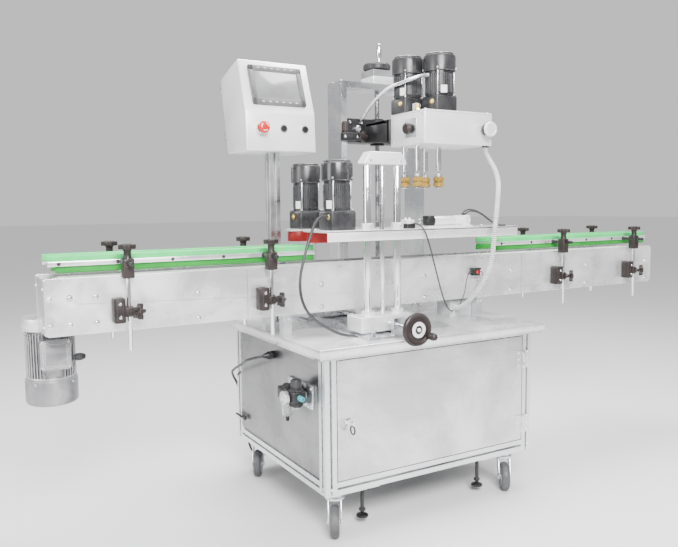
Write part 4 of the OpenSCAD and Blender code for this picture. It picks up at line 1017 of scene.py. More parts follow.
for k in range(3):
    plate(arrows, [(11 * cos(a), 11 * sin(a)) for a in (0.1, 0.5, 0.9, 1.3)] +
          [(14 * cos(a), 14 * sin(a)) for a in (1.3, 0.9, 0.5, 0.1)], 2.4, 0.2,
          aimed((stop_x, face_y - 34.2, button_z), (0, -1, 0)) @ Matrix.Rotation(tau * k / 3, 4, "Z"))
white_mark = finish("white_label", (0.82, 0.82, 0.8), (0.72, 0.72, 0.7), (0.4, 0.5), (90, 90, 90), 0.0,
                    across=30)
piece("stop_arrows", arrows, white_mark, "stop_mushroom", "white_plate")
for x, body, node in ((push_x[0], "start_plunger", "start_button"),
                      (push_x[1], "stop_plunger", "stop_button")):
    plunger = bmesh.new()
    turned(plunger, [(0, -24), (10.9, -24), (10.9, 7.2), (9.6, 8.8), (7, 8.2), (0, 7.8)],
           (x, face_y, button_z),
           (0, -1, 0), 36)
    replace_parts(piece("plunger_" + node, plunger, black_satin, body, "button_black"), node)


# ---------------------------------------------------------------- Air unit
# Regulator with a pressure gauge, filter and lubricator bowls on a bracket of the left panel, with
# teal push-in fittings. The bowls are clear plastic and the bodies black die castings.
brown_red = finish("joiner_brown", (0.34, 0.09, 0.06), (0.2, 0.05, 0.035), (0.35, 0.5), (200, 200, 200),
                   0.00005)
teal = finish("fitting_teal", (0.05, 0.38, 0.42), (0.03, 0.26, 0.3), (0.28, 0.42), (200, 200, 200), 0.00003,
              Coat_Weight=0.3)
clear_bowl = finish("clear_bowl", (0.93, 0.95, 0.95), (0.86, 0.88, 0.88), (0.05, 0.16), (60, 60, 60), 0.0,
                    Transmission_Weight=0.85, IOR=1.46)
air_low = drawn("air_unit")[0]
bracket_front = 150
air_metal, air_black, gauge_face, gauge_marks, bowls, tees, middle_bar = (bmesh.new() for _ in range(7))
block(air_metal, (-3, bracket_front, 395), (4.8, 320, 470), 2)
block(air_metal, (-11, 192, 422), (-3, 274, 442), 1.5)
for y in (160, 310):
    for z in (405, 460):
        screw(air_metal, (-3, y, z), (-1, 0, 0), 4.5, 3.5)
for low_y, high_y in ((176, 226), (240, 290)):
    block(air_black, (-58, low_y, 412), (-10, high_y, 452), 6, 3)
    turned(air_black, [(0, 0), (21, 0), (23, 3), (23, 9), (19, 12), (0, 12)],
           (-34, (low_y + high_y) / 2, 402))
turned(air_black, [(0, 450), (20, 450), (20, 456), (15, 459), (15, 462), (17, 464), (17, 482), (15, 486),
                   (0, 486)],
       (-34, 201, 0), steps=44)
for k in range(20):
    block(air_black, (16, -1, 465), (18, 1, 482), 0.5, 1,
          Matrix.Translation((-34, 201, 0)) @ Matrix.Rotation(tau * k / 20, 4, "Z"))
turned(air_black, [(0, 450), (16, 450), (16, 455), (11, 460), (0, 461)], (-34, 265, 0), steps=36)
block(middle_bar, (-52, 225, 420), (-16, 241, 446), 3, 3)
screw(air_metal, (-52, 233, 433), (-1, 0, 0), 4.5, 3)
turned(bowls, [(18, 405), (18.6, 366), (16, 358), (10, 354), (0, 353), (0, 356), (9, 357), (14, 361),
               (16, 368), (15.4, 405),
               (18, 405)], (-34, 265, 0), steps=40)
turned(bowls, [(14.4, 405), (15, 396), (12, 389), (6, 387), (0, 386.6), (0, 389), (6, 390), (10.4, 392),
               (12.4, 398),
               (12, 405), (14.4, 405)], (-34, 201, 0), steps=40)
turned(air_black, [(0, 338), (5, 338), (6, 340), (6, 350), (8, 353), (8, 357), (0, 357)], (-34, 265, 0),
       steps=24)
turned(gauge_face, [(0, 14.5), (18.6, 14.5), (18.6, 15.5), (0, 15.5)], (-58, 206, 432), (-1, 0, 0), 44)
turned(air_metal, [(0, 0), (6, 0), (6, 4), (20, 5), (22, 7), (22.4, 18), (21, 20.2), (18.6, 20.4),
                   (18.4, 15), (0, 15)],
       (-58, 206, 432), (-1, 0, 0), 48)
on_gauge = aimed((-73.6, 206, 432), (-1, 0, 0))
for k in range(28):
    a = radians(225 - 270 * k / 27)
    inner = 14.2 if k % 3 == 0 else 15.6
    plate(gauge_marks, [(-0.35, inner), (0.35, inner), (0.35, 17.2), (-0.35, 17.2)], 0.3, 0,
          on_gauge @ Matrix.Rotation(a, 4, "Z"))
plate(gauge_marks, [(-0.9, -5), (0.9, -5), (0.25, 13), (-0.25, 13)], 0.8, 0,
      on_gauge @ Matrix.Rotation(0.7, 4, "Z"))
for y, way in ((290, 1), (176, -1)):
    turned(tees, [(0, 0), (9, 0), (9, 12), (8, 14), (8, 21), (6.4, 24), (3.4, 24), (3.4, 16), (0, 16)],
           (-34, y, 432),
           (0, way, 0), 28)
for form in (air_metal, air_black, gauge_face, gauge_marks, bowls, tees, middle_bar):
    bmesh.ops.translate(form, verts=form.verts, vec=(0, air_low.y - bracket_front, 0))
air_block = piece("air_bodies", air_black, black_satin, "base", "air_unit_black")
piece("air_bracket", air_metal, zinc, "base", "zinc_bracket")
piece("air_joiner", middle_bar, brown_red, "base", "air_unit_black")
piece("air_gauge_face", gauge_face, white_mark, "base", "white_plate")
piece("air_gauge_marks", gauge_marks, black_satin, "base", "air_unit_black")
piece("air_bowls", bowls, clear_bowl, "base", "air_unit_black")
piece("air_fittings", tees, teal, "base", "air_unit_black")
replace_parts(air_block, "air_unit")
outlet = bmesh.new()
rod(outlet, (4.8, 370, 516), 12.8, 15, (-1, 0, 0), 1.5, 6)
turned(outlet, [(0, 12), (13, 12), (13.6, 20), (12, 26), (9, 34), (6.6, 40.6), (5, 40.8), (4.7, 34), (0, 34)],
       (4.8, 370, 516), (-1, 0, 0))
for k in range(12):
    block(outlet, (12.4, -1.1, 13), (14.4, 1.1, 24), 0.5, 1, aimed((4.8, 370, 516),
                                                                   (-1, 0,
                                                                    0)) @ Matrix.Rotation(tau * k / 12, 4,
                                                                                          "Z"))
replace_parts(piece("mains_gland_nut", outlet, black_satin, "base", "black_plastic"), "mains_gland")
latch = bmesh.new()
block(latch, (-9, 612, 222), (-0.2, 640, 242), 3, 3)
block(latch, (-15, 632, 228), (-8, 690, 236), 2.5, 3)
piece("panel_latch", latch, black_satin, "base", "black_plastic")


# ---------------------------------------------------------------- Gantry
# Two aluminium channel uprights with a bar across the top, bolted to the worktop through feet. A
# bright block on the bar holds the bearing of the lift screw.
dress("gantry_frame", aluminium)
soften("gantry_frame", 1.6)
gantry_high = drawn("gantry_frame")[1]
screw_x, screw_y = 582.5, 597.5
bearing, gantry_bolts = bmesh.new(), bmesh.new()
block(bearing, (screw_x - 47, 552, 1500.4), (screw_x + 47, 643, 1530), 2.5, 3)
block(bearing, (screw_x - 40, 558, 1529), (screw_x + 40, 637, 1556.4), 4, 3)
turned(bearing, [(11, 1556), (24, 1556), (24, 1557.4), (22, 1558), (11, 1558)], (screw_x, screw_y, 0))
for x in (screw_x - 40, screw_x + 40):
    for y in (560, 635):
        screw(gantry_bolts, (x, y, 1530), (0, 0, 1), 4.5, 4)
for x in (398, 767):
    for y in (566, 629):
        screw(gantry_bolts, (x, y, gantry_high.z if gantry_high.z < 1501 else 1500), (0, 0, 1), 5.5, 4.5)
for x in (418, 442, 723, 747):
    for y in (562, 632):
        screw(gantry_bolts, (x, y, 612), (0, 0, 1), 5, 4.5)
piece("lift_bearing", bearing, steel_bright, "base", "stainless_sheet")
piece("gantry_bolts", gantry_bolts, zinc, "base", "zinc_bracket")


# ---------------------------------------------------------------- Lift handwheel
# Knurled black rim on a spoked disc, with a steel crank handle, keyed to the trapezoidal screw
# that lifts the head. The screw is bright steel with an oily dark root.
screw_steel = finish("screw_steel", (0.6, 0.6, 0.62), (0.3, 0.3, 0.32), (0.2, 0.36), (30, 30, 400), 0.00003,
                     across=20, Metallic=1.0)
spindle_screw, rim, handle = bmesh.new(), bmesh.new(), bmesh.new()
thread = [(0, 613)]
for k in range(176):
    z = 616 + 5 * k
    thread += [(8.4, z), (8.4, z + 1.6), (9.9, z + 2.4), (9.9, z + 4.2)]
thread += [(9.9, 1565), (0, 1565)]
turned(spindle_screw, thread, (screw_x, screw_y, 0), steps=20)
turned(rim, [(0, 1558), (18, 1558), (18, 1564), (40, 1566), (41, 1562), (45, 1559), (50, 1559), (53.5, 1563),
             (53.5, 1579),
             (50, 1584), (45, 1584), (41, 1581), (40, 1578), (18, 1580), (18, 1587), (16, 1588.6),
             (0, 1588.6)],
       (screw_x, screw_y, 0), steps=60)
for k in range(36):
    block(rim, (52.4, -1.7, 1564), (54.4, 1.7, 1578), 0.8, 1,
          Matrix.Translation((screw_x, screw_y, 0)) @ Matrix.Rotation(tau * k / 36, 4, "Z"))
turned(handle, [(0, 1582), (4.4, 1582), (4.4, 1600), (8.6, 1601.6), (10.4, 1606), (10.9, 1622), (10.4, 1640),
                (8.6, 1650),
                (5, 1654.6), (0, 1655.6)], (screw_x - 16, screw_y - 40, 0), steps=32)
rod(handle, (screw_x, screw_y, 1588), 4, 8, (0, 0, 1), 0.8, 6)
wheel_rim = piece("handwheel_rim", rim, black_satin, "lift_wheel", "black_plastic")
piece("handwheel_handle", handle, chrome, "lift_wheel", "shaft_chrome")
piece("lift_screw_thread", spindle_screw, screw_steel, "lift_wheel", "shaft_chrome")
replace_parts(wheel_rim, "lift_handwheel")


# ---------------------------------------------------------------- Head carriage
# Black machined block on the lift screw between the uprights, with an arm to the head box. A clamp
# with a knurled knob locks it to the left upright, and a metal conduit brings the motor wires in.
carriage, carriage_bright, carriage_knob = bmesh.new(), bmesh.new(), bmesh.new()
block(carriage, (410.6, 556, 1270), (552, 639, 1362), 4, 3)
block(carriage, (613, 556, 1270), (754.4, 639, 1362), 4, 3)
block(carriage, (550, 556, 1272), (615, 584, 1360), 2, 2)
block(carriage, (550, 611, 1272), (615, 639, 1360), 2, 2)
turned(carriage, [(11, 1264), (28, 1264), (28, 1366), (26, 1368), (11, 1368)], (screw_x, screw_y, 0))
for x0, x1 in ((503, 517), (648, 662)):
    plate(carriage, [(396, 1260), (560, 1270), (560, 1340), (430, 1344), (396, 1330)], x1 - x0, 1.5,
          Matrix(((0, 0, 1, x0), (1, 0, 0, 0), (0, 1, 0, 0), (0, 0, 0, 1))))
block(carriage, (503, 395.6, 1260), (662, 410, 1344), 2, 2)
block(carriage, (503, 396, 1330), (662, 560, 1344), 2, 2)
block(carriage, (380, 519, 1272), (446, 544, 1302), 3, 3)
block(carriage, (414, 543, 1274), (446, 560, 1300), 2, 2)
turned(carriage_knob, [(0, 1301), (7, 1301), (7, 1306), (10, 1308), (10, 1343), (8.6, 1345), (0, 1345)],
       (394, 532, 0), steps=32)
for k in range(14):
    block(carriage_knob, (9.4, -0.9, 1309), (10.9, 0.9, 1342), 0.4, 1,
          Matrix.Translation((394, 532, 0)) @ Matrix.Rotation(tau * k / 14, 4, "Z"))
for x in (428, 480):
    for z in (1286, 1346):
        screw(carriage_bright, (x, 556, z), (0, -1, 0), 6.5, 6)
turned(carriage_bright, [(0, 0), (13, 0), (14, 2), (14, 12), (11, 15), (6, 16), (6, 20), (0, 20)],
       (462, 556, 1320), (0, -1, 0), 32)
for x in (386, 440):
    screw(carriage_bright, (x, 519, 1287), (0, -1, 0), 4.5, 4)
lobes = [(19 + 4.5 * cos(5 * tau * k / 50)) for k in range(50)]
plate(carriage_knob, [(r * cos(tau * k / 50), r * sin(tau * k / 50)) for k, r in enumerate(lobes)], 16, 2,
      aimed((470, 538, 1290), (0, -1, 0)))
rod(carriage_knob, (470, 556, 1290), 20, 10, (0, -1, 0), 1)
carriage_piece = piece("head_carriage_block", carriage, black_satin, "head", "black_plastic")
piece("head_carriage_knobs", carriage_knob, moulded, "head", "black_plastic")
piece("head_carriage_bolts", carriage_bright, chrome, "head", "shaft_chrome")
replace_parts(carriage_piece, "head_carriage")

conduit_path = trace(strand("conduit_guide", [(566, 236, 1484), (548, 238, 1482), (520, 262, 1474),
                                              (498, 310, 1462), (488, 370, 1452),
                                              (484, 430, 1432), (483, 480, 1408), (482, 520, 1384),
                                              (481, 545, 1364), (480, 570, 1356)], 11))
bpy.data.objects.remove(bpy.data.objects["conduit_guide"])
conduit = bmesh.new()
ring_path = [to_frame.inverted() @ point for point in conduit_path]
for a, b in zip(ring_path, ring_path[1:]):
    steps = max(1, round((b - a).length / 3.2))
    for k in range(steps):
        rod(conduit, a + (b - a) * k / steps, 3.3, 5.2, b - a, 0, 12, 6.6)
piece("motor_conduit", conduit, zinc, "head", "zinc_bracket", 60)


# ---------------------------------------------------------------- Head box
# Folded and welded stainless housing with brushed faces, closed by screws at its corners. It holds
# the spindle belts; a speed knob is at the right of its front and a lock knob on its left end.
head_low, head_high = drawn("head_box")
housing, head_trim = bmesh.new(), bmesh.new()
skin = bmesh.new()
bmesh.ops.create_cube(skin, size=1)
bmesh.ops.scale(skin, verts=skin.verts, vec=head_high - head_low)
bmesh.ops.translate(skin, verts=skin.verts, vec=(head_high + head_low) / 2)
round_edges(skin, 3, 3)
put(housing, skin)
steel_head = finish("steel_head", (0.95, 0.95, 0.955), (0.84, 0.84, 0.85), (0.3, 0.46), (20, 20, 600),
                    0.00003,
                    across=3.0, edge_wear_and_highlight=(0.98, 0.98, 0.98), Metallic=0.45)
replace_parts(piece("head_housing", housing, steel_head, "head", "stainless_sheet"), "head_box")
for x in (head_low.x + 12, head_high.x - 12):
    for y in (head_low.y + 12, head_high.y - 12):
        screw(head_trim, (x, y, head_high.z - 0.2), (0, 0, 1), 4.4, 3)
for y in (head_low.y + 14, head_high.y - 14):
    for z in (head_low.z + 14, head_high.z - 14):
        screw(head_trim, (head_low.x + 0.2, y, z), (-1, 0, 0), 3.8, 2.6)
        screw(head_trim, (head_high.x - 0.2, y, z), (1, 0, 0), 3.8, 2.6)
block(head_trim, (head_low.x - 2.4, 232, head_low.z + 26), (head_low.x + 0.5, 300, head_low.z + 92), 0.8)
piece("head_fixings", head_trim, zinc, "head", "zinc_bracket")
seam = bmesh.new()
block(seam, (head_low.x - 0.25, head_low.y - 0.25, head_high.z - 6.6),
      (head_high.x + 0.25, head_high.y + 0.25, head_high.z - 6), 0)
piece("head_seam", seam, dark_joint, "head", "stainless_sheet")
lock_knob = bmesh.new()
turned(lock_knob, [(0, 0), (8, 0), (8, 5), (17, 7), (19, 10), (19, 20), (16, 24), (0, 25)],
       (head_low.x - 2, 268, 1297), (-1, 0, 0), 36)
for k in range(16):
    block(lock_knob, (18, -1.3, 10), (19.8, 1.3, 20), 0.6, 1,
          aimed((head_low.x - 2, 268, 1297), (-1, 0, 0)) @ Matrix.Rotation(tau * k / 16, 4, "Z"))
piece("head_lock_knob", lock_knob, moulded, "head", "black_plastic")
bush = bmesh.new()
rod(bush, (800, 200, 1240.2), 6, 13, (0, 0, -1), 1.2, 6)
piece("harness_bush", bush, black_satin, "head", "black_plastic")

knob_form, knob_disc = bmesh.new(), bmesh.new()
knob_at = (782, 185, 1296)
turned(knob_form, [(0, 0), (13, 0), (13, 3), (19.6, 5), (20, 8), (20, 24), (18, 26.4), (0, 26.4)], knob_at,
       (0, -1, 0), 40)
for k in range(20):
    block(knob_form, (19, -1.4, 8), (20.8, 1.4, 24), 0.7, 1, aimed(knob_at,
                                                                   (0, -1,
                                                                    0)) @ Matrix.Rotation(tau * k / 20, 4,
                                                                                          "Z"))
turned(knob_disc, [(0, 26), (24.6, 26), (26, 27.4), (26, 38), (24.6, 39.6), (20, 40), (19, 39), (0, 39)],
       knob_at, (0, -1, 0), 48)
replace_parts(piece("speed_knob_grip", knob_form, moulded, "knob", "black_plastic"), "head_knob")
piece("speed_knob_disc", knob_disc, steel_bright, "knob", "shaft_chrome")


# ---------------------------------------------------------------- Gear motors
# Four alike speed controlled motors: a square gear head, a ribbed black body with tie bolts and a
# pressed cap with vents. Two stand on the head box and one on each clamp plate.
# The lighter corner colours of these black paints are painted edge highlights as well as wear.
dark_paint = finish("motor_paint", (0.022, 0.022, 0.024), (0.01, 0.01, 0.011), (0.22, 0.4), (420, 420, 60),
                    0.00006, across=12, edge_wear_and_highlight=(0.1, 0.1, 0.105), Specular_IOR_Level=0.4)
cap_paint = finish("motor_cap_paint", (0.035, 0.035, 0.037), (0.012, 0.012, 0.013), (0.2, 0.36),
                   (300, 300, 300),
                   0.00005, across=9, edge_wear_and_highlight=(0.16, 0.16, 0.165), Specular_IOR_Level=0.5)
gearhead_grey = finish("gearhead_grey", (0.06, 0.06, 0.062), (0.03, 0.03, 0.032), (0.26, 0.42),
                       (160, 160, 500), 0.00005,
                       across=10, edge_wear_and_highlight=(0.18, 0.18, 0.185), Metallic=0.4)
brass = finish("brass", (0.88, 0.66, 0.24), (0.66, 0.46, 0.12), (0.2, 0.34), (120, 120, 120), 0.00003,
               across=20,
               Metallic=1.0)


def gear_motor(name, body, foot, head_high, body_r, body_high, cap_high, label_way, gland_way):
    """Upright motor on its gear head. The ways turn the label and the cable gland about it."""
    at = Matrix.Translation(foot)
    head, body_form, cap, bits, label, nut = (bmesh.new() for _ in range(6))
    block(head, (-45, -45, 0.3), (45, 45, head_high - 4), 4, 3, at)
    block(head, (-43, -43, head_high - 6), (43, 43, head_high), 6, 3, at)
    for sx in (-1, 1):
        for sy in (-1, 1):
            screw(bits, at @ Vector((sx * 37, sy * 37, head_high)), (0, 0, 1), 4, 3.5)
            rod(bits, at @ Vector((sx * body_r * 0.71, sy * body_r * 0.71, head_high)),
                body_high - head_high, 2.6, edge=0.3,
                sides=12)
    turned(body_form, [(0, head_high - 1), (body_r - 2, head_high - 1), (body_r - 1, head_high + 8),
                       (body_r - 3, head_high + 10),
                       (body_r - 3, body_high - 12), (body_r - 1, body_high - 10),
                       (body_r - 1, body_high + 1),
                       (0, body_high + 1)], foot, steps=56)
    for k in range(40):
        block(body_form, (body_r - 4, -1, head_high + 10), (body_r, 1, body_high - 11), 0.5, 1,
              at @ Matrix.Rotation(tau * k / 40, 4, "Z"))
    top = body_r + 6
    turned(cap, [(0, body_high), (top - 2, body_high), (top, body_high + 2), (top, cap_high - 10),
                 (top - 2, cap_high - 4),
                 (top - 8, cap_high), (0, cap_high + 4)], foot, steps=56)
    turned(cap, [(top - 10, cap_high - 1), (top - 7, cap_high), (top - 7, cap_high + 3),
                 (top - 9, cap_high + 5),
                 (top - 11, cap_high + 3)] + [(top - 10, cap_high - 1)], foot, steps=56)
    for k in range(14):
        turn = at @ Matrix.Rotation(tau * k / 14, 4, "Z")
        block(cap, (12, -1.6, cap_high + 1), (top - 14, 1.6, cap_high + 4.4), 0.7, 1, turn)
    for k in range(4):
        a = tau * (k + 0.5) / 4
        screw(bits, at @ Vector((top * cos(a), top * sin(a), body_high + 9)), (cos(a), sin(a), 0), 3.4, 2.2)
    away = at @ Matrix.Rotation(radians(label_way), 4, "Z")
    low = head_high + 6
    plate(label, [(body_r * cos(a), body_r * sin(a)) for a in (-0.22, -0.11, 0, 0.11, 0.22)] +
          [((body_r + 1) * cos(a), (body_r + 1) * sin(a)) for a in (0.22, 0.11, 0, -0.11, -0.22)], 26, 0,
          away @ Matrix.Translation((0, 0, low)))
    out = at @ Matrix.Rotation(radians(gland_way), 4, "Z")
    spot, way = out @ Vector((44, 0, head_high - 22)), out.to_3x3() @ Vector((1, 0, 0))
    rod(nut, spot, 7, 10, way, 1, 6)
    rod(nut, spot + way * 6, 5, 6.4, way, 0.8, 16)
    slot = "motor_black"
    whole = piece(name + "_gearhead", head, gearhead_grey, body, slot)
    piece(name + "_body", body_form, dark_paint, body, slot)
    piece(name + "_cap", cap, cap_paint, body, slot)
    piece(name + "_bolts", bits, zinc, body, "zinc_bracket")
    piece(name + "_label", label, white_mark, body, "white_plate")
    piece(name + "_gland", nut, brass, body, "wheel_yellow")
    return whole


head_top = head_high.z
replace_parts(gear_motor("head_motor_front", "head", (618, 242, head_top), 56, 52, 140, 199, 250, 200),
            "head_motors")
gear_motor("head_motor_rear", "head", (552, 344, head_top), 56, 52, 140, 199, 215, 200)
air_stub = bmesh.new()
rod(air_stub, (524, 245, head_top - 0.5), 9, 10, (0, 0, 1), 1, 6)
turned(air_stub, [(0, 8), (8, 8), (8, 14), (9, 15), (9, 22), (6, 25), (3.4, 26), (3.4, 20), (0, 20)],
       (524, 245, head_top), steps=28)
piece("head_air_fitting", air_stub, brass, "head", "wheel_yellow")
elbow = bmesh.new()
block(elbow, (528, 262, head_top), (548, 284, head_top + 30), 3, 3)
rod(elbow, (538, 262, head_top + 20), 9, 6, (0, -1, 0), 0.8, 16)
piece("head_air_valve", elbow, steel_bright, "head", "zinc_bracket")

plate_top = 946
for name, node, body, y, gland in (("front_clamp_gearmotor", "front_clamp_motor", "front_clamp", 196, 208),
                                   ("rear_clamp_gearmotor", "rear_clamp_motor", "rear_clamp", 416, 180)):
    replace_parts(gear_motor(name, body, (162, y, plate_top), 64, 46, 160, 222, 205, gland), node)


# ---------------------------------------------------------------- Spindles
# Four chrome shafts under the head box, each with an amber polyurethane wheel that grips a cap. The
# wheels are grooved and held by a collar and a bolt from below.
amber = finish("amber_wheel", (0.26, 0.14, 0.012), (0.07, 0.035, 0.003), (0.2, 0.36), (90, 90, 90), 0.00005,
               across=34,
               edge_wear_and_highlight=(0.5, 0.34, 0.07))
for key, x, y in (("fl", 540, 266), ("fr", 634, 266), ("rl", 540, 346), ("rr", 634, 346)):
    shaft, tyre, collar = bmesh.new(), bmesh.new(), bmesh.new()
    rod(shaft, (x, y, 1088.4), 214, 7, edge=0.8)
    turned(shaft, [(7, 1146), (9.6, 1146), (10.4, 1147), (10.4, 1238), (7, 1238)], (x, y, 0), steps=36)
    turned(tyre, [(7, 1091), (16, 1091), (19, 1093), (19, 1105.5), (16, 1107), (16, 1111), (19, 1112.5),
                  (19, 1125), (16, 1127),
                  (7, 1127), (7, 1091)], (x, y, 0), steps=44)
    for k in range(22):
        for z in (1094, 1114):
            block(tyre, (18, -0.9, z), (19.5, 0.9, z + 10.5), 0.4, 1,
                  Matrix.Translation((x, y, 0)) @ Matrix.Rotation(tau * k / 22, 4, "Z"))
    turned(collar, [(7.2, 1127.4), (12, 1127.4), (12.6, 1128), (12.6, 1138), (12, 1138.6), (7.2, 1138.6),
                    (7.2, 1127.4)], (x, y, 0), steps=32)
    turned(collar, [(0, 1085), (8, 1085), (10, 1087), (10, 1090.6), (0, 1090.6)], (x, y, 0), steps=24)
    shaft_piece = piece("spindle_shaft_" + key, shaft, chrome, "spindle_" + key, "shaft_chrome")
    piece("spindle_wheel_" + key, tyre, amber, "spindle_" + key, "wheel_yellow")
    piece("spindle_collar_" + key, collar, zinc, "spindle_" + key, "zinc_bracket")
    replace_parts(shaft_piece, "spindle_" + key)


# ---------------------------------------------------------------- Bottle clamps
# Two long plates that face each other over the chain, each on a carriage that slides on the base
# rails. A folded lip stiffens the front plate; chrome posts and a bright bridge set its height.
clamp_steel = finish("clamp_steel", (0.95, 0.95, 0.95), (0.74, 0.74, 0.75), (0.22, 0.4), (16, 600, 600),
                     0.00003,
                     across=4, edge_wear_and_highlight=(0.97, 0.97, 0.97), Metallic=0.6)
dress("clamp_base", zinc)
soften("clamp_base", 0.8)
for node in ("rear_clamp_frame",):
    dress(node, clamp_steel)
    soften(node, 1)
dress("front_clamp_posts", chrome)
soften("front_clamp_posts", 1)
dress("cylinder_rod", chrome)
soften("cylinder_rod", 0.6)
table, block_form, bridge, inner, clamp_bolts = (bmesh.new() for _ in range(5))
x0, x1 = 69, 865
block(table, (x0, 95, 940), (x1, 262, 946), 1.2)
block(table, (x0, 95, 912), (x1, 99.4, 945.6), 1.2)
for x in (230, 347):
    turned(table, [(12.7, 916), (19.6, 916), (21, 917.4), (21, 966.4), (19.6, 968), (12.7, 968),
                   (12.7, 916)], (x, 120, 0), steps=44)
    screw(clamp_bolts, (x, 99, 958), (0, -1, 0), 4, 3)
for x in range(110, 840, 90):
    if min(abs(x - 230), abs(x - 347)) > 30:
        dome(clamp_bolts, (x, 250, 946), (0, 0, 1), 4.4)
block(block_form, (178, 75, 626.6), (379, 165, 668), 2.5, 3)
for low, high in ((178, 189.6), (205.4, 349.6), (365.4, 379)):
    block(block_form, (low, 75, 618), (high, 165, 628), 1)
for x in (230, 347):
    turned(block_form, [(12.7, 666), (20, 666), (21, 667), (21, 679), (20, 680), (12.7, 680), (12.7, 666)],
           (x, 120, 0), steps=40)
for x in (190, 366):
    for y in (86, 154):
        screw(clamp_bolts, (x, y, 668), (0, 0, 1), 4.5, 4)
plate(bridge, [(206, 1157.2), (372, 1157.2), (368, 1170), (350, 1197), (230, 1197), (211, 1170)], 44, 3,
      Matrix.Translation((0, 142, 0)) @ Matrix.Rotation(pi / 2, 4, "X"), 3)
for x in (230, 347):
    screw(clamp_bolts, (x, 98.4, 1168), (0, -1, 0), 4.5, 3)
for x in (108, 830):
    turned(inner, [(0, 907), (28, 907), (30, 908), (30, 936), (28, 937), (0, 937)], (x, 234, 0), steps=44)
    rod(inner, (x, 234, 905), 36, 10, edge=0.6)
block(inner, (148, 212, 908), (790, 256, 936), 1)
for x in (198, 469, 740):
    block(inner, (x - 20, 219, 934), (x + 20, 249, 940.4), 0.6)
table_piece = piece("clamp_table", table, clamp_steel, "front_clamp", "stainless_sheet")
piece("clamp_carriage", block_form, clamp_steel, "front_clamp", "stainless_sheet")
piece("clamp_bridge", bridge, steel_head, "front_clamp", "stainless_sheet")
piece("clamp_inner_bar", inner, zinc, "front_clamp", "zinc_bracket")
piece("clamp_bolts", clamp_bolts, zinc, "front_clamp", "zinc_bracket")
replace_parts(table_piece, "front_clamp_frame")

belt_paint = finish("belt_red", (0.26, 0.008, 0.007), (0.12, 0.004, 0.004), (0.4, 0.58), (400, 400, 60),
                    0.0001, across=8,
                    edge_wear_and_highlight=(0.34, 0.02, 0.018), Specular_IOR_Level=0.3)
for side, body in (("front", "front_clamp"), ("rear", "rear_clamp")):
    dress(side + "_clamp_belt", belt_paint)
    soften(side + "_clamp_belt", 0.7)


# ---------------------------------------------------------------- Clamp cylinder
# Round air cylinder on an aluminium foot with a black front end and white retaining rings at the
# back. Two black air tubes leave its rear fittings, and a small valve stands beside it.
cylinder, ends, rings = (bmesh.new() for _ in range(3))
block(cylinder, (486, 128, 945.8), (680, 178, 953), 1.2)
rod(cylinder, (516, 153, 970), 130, 16, (1, 0, 0), 0.8, 44)
block(ends, (490, 135, 952.4), (517, 171, 988), 3.5, 3)
rod(ends, (516, 153, 970), 5, 17.4, (1, 0, 0), 1, 40)
block(cylinder, (646, 135, 952.4), (676, 171, 988), 3.5, 3)
for x in (618, 630, 642, 664):
    turned(rings, [(15.4, 0), (17.6, 0.3), (17.6, 5.2), (15.4, 5.6), (15.4, 0)], (x, 153, 970), (1, 0, 0), 40)
rod(rings, (676, 153, 970), 6, 13, (1, 0, 0), 1.5, 32)
for y in (146, 160):
    rod(ends, (660, y, 986), 8, 5.4, (0, 0, 1), 0.8, 16)
block(ends, (396, 130, 946), (430, 176, 962), 2)
block(cylinder, (398, 132, 961), (428, 174, 976), 2.5, 3)
for y in (142, 164):
    rod(cylinder, (413, y, 975), 7, 4.6, edge=0.8, sides=16)
piece("cylinder_tube", cylinder, steel_head, "front_clamp", "stainless_sheet")
piece("cylinder_ends", ends, black_satin, "front_clamp", "black_plastic")
piece("cylinder_rings", rings, white_mark, "front_clamp", "white_plate")
for y, route in ((146, [(660, 146, 992), (672, 143, 1000), (696, 137, 1000), (724, 128, 988),
                        (752, 120, 968), (778, 114, 954),
                        (800, 112, 949.4), (826, 116, 949)]),
                 (160, [(660, 160, 992), (672, 158, 1004), (700, 152, 1006), (730, 144, 994),
                        (758, 136, 974), (782, 130, 956),
                        (802, 128, 949.4), (828, 130, 949)])):
    tube = as_mesh(strand("air_tube_%d" % y, route, 5.4, False, 3))
    tube.data.materials.append(cord_black)
    fasten(tube, "front_clamp")


# ---------------------------------------------------------------- Clamp crank
# Black bakelite handwheel on the cross screw that opens and closes both clamps, with a bright
# centre ring and a revolving grip. Its shaft turns in two blocks of the base plate.
at_crank = aimed((288, -72, 642), (0, -1, 0))
crank_rim, crank_bright, crank_shaft = bmesh.new(), bmesh.new(), bmesh.new()
wheel_form = bmesh.new()
turned(wheel_form, [(40, -6), (43, -8.4), (46, -9), (50.6, -7.2), (53, -1), (51.4, 5), (48, 8), (43.6, 7.6),
                    (40, 5), (40, -6)],
       (0, 0, 0), steps=64)
turned(wheel_form, [(0, -14), (19, -14), (21, -12), (22, -4), (41, -3.4), (41, 2.4), (26, 3), (25, 7.6),
                    (0, 8)], (0, 0, 0), steps=56)
put(crank_rim, wheel_form, at_crank)
grip_form = bmesh.new()
turned(grip_form, [(0, 2), (6, 2), (6.6, 8), (10.4, 12), (11.8, 22), (12, 34), (10, 42), (6, 45.6),
                   (0, 46.4)], (38, -22, 0), steps=36)
put(crank_rim, grip_form, at_crank)
ring_form = bmesh.new()
turned(ring_form, [(13.6, 7.6), (24.6, 7.6), (25, 8.4), (24.4, 11), (23, 11.6), (15.6, 11.6), (14, 11),
                   (13.6, 7.6)], (0, 0, 0), steps=48)
put(crank_bright, ring_form, at_crank)
hub_form = bmesh.new()
turned(hub_form, [(0, 7.6), (6.4, 7.6), (6.4, 12.4), (5.4, 13.4), (0, 13.4)], (0, 0, 0), steps=6)
put(crank_bright, hub_form, at_crank)
thread = [(0, 0), (6.9, 0), (6.9, 92)]
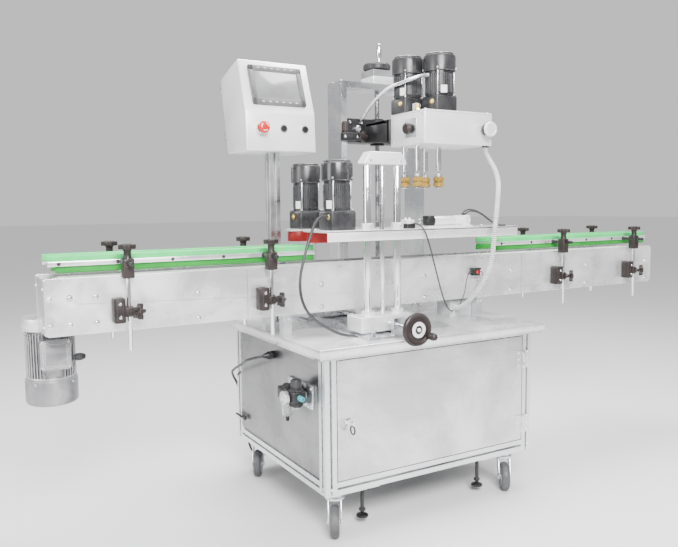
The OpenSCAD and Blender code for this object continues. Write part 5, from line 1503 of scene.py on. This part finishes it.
for k in range(118):
    z = 92 + 4 * k
    thread += [(6, z), (6, z + 1.4), (6.9, z + 2), (6.9, z + 3.4)]
thread += [(6.9, 564), (6.9, 664), (0, 664)]
turned(crank_shaft, thread, (288, -72, 642), (0, 1, 0), 18)
crank_piece = piece("crank_wheel", crank_rim, moulded, "crank", "black_plastic")
piece("crank_ring", crank_bright, steel_bright, "crank", "shaft_chrome")
piece("crank_screw", crank_shaft, screw_steel, "crank", "shaft_chrome")
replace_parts(crank_piece, "clamp_crank")
base_bolts = bmesh.new()
for x in (174, 278, 373):
    for y in (24, 588):
        if x != 278:
            screw(base_bolts, (x, y, 612), (0, 0, 1), 4.5, 4)
for x in (197.5, 357.5):
    for y in range(48, 570, 60):
        screw(base_bolts, (x, y, 624.6), (0, 0, 1), 3.2, 1.4)
piece("clamp_base_bolts", base_bolts, zinc, "base", "zinc_bracket")


# ---------------------------------------------------------------- Bottle sensor
# Small black light sensor with a glass lens on a bent bracket of the front side plate. Its thin
# wire and a second one run down the plate to the junction box.
sensor, bent, lens = bmesh.new(), bmesh.new(), bmesh.new()
block(sensor, (748, 196, 761), (778, 216, 787), 2, 3)
block(sensor, (744, 194, 783), (782, 217, 789), 1.4)
block(bent, (738, 194, 757), (796, 219.6, 761), 1)
block(bent, (738, 216.6, 740), (796, 219.6, 760), 1)
for x in (746, 788):
    screw(bent, (x, 216.8, 748), (0, -1, 0), 3.4, 2.4)
turned(lens, [(0, 0), (6, 0), (6.4, 1), (6, 2.2), (4, 3), (0, 3.2)], (763, 196.2, 774), (0, -1, 0), 24)
piece("sensor_lens", lens, red_knob, "base", "button_red")
piece("sensor_bracket", bent, zinc, "base", "zinc_bracket")
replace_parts(piece("sensor_body", sensor, black_satin, "base", "black_plastic"), "bottle_sensor")
for name, route in (("sensor_wire_left", [(749, 205, 776), (738, 204, 778), (728, 205, 768), (720, 207, 740),
                                          (716, 210, 706),
                                          (708, 216, 672), (700, 226, 648), (696, 240, 638),
                                          (694, 249, 634)]),
                    ("sensor_wire_right", [(777, 205, 772), (790, 204, 774), (798, 204, 760),
                                           (796, 206, 730), (784, 208, 700),
                                           (762, 212, 672), (736, 218, 652), (716, 230, 642),
                                           (706, 249, 634)])):
    wire = as_mesh(strand(name, route, 3, False, 2))
    wire.data.materials.append(cord_black)
    fasten(wire, "base")
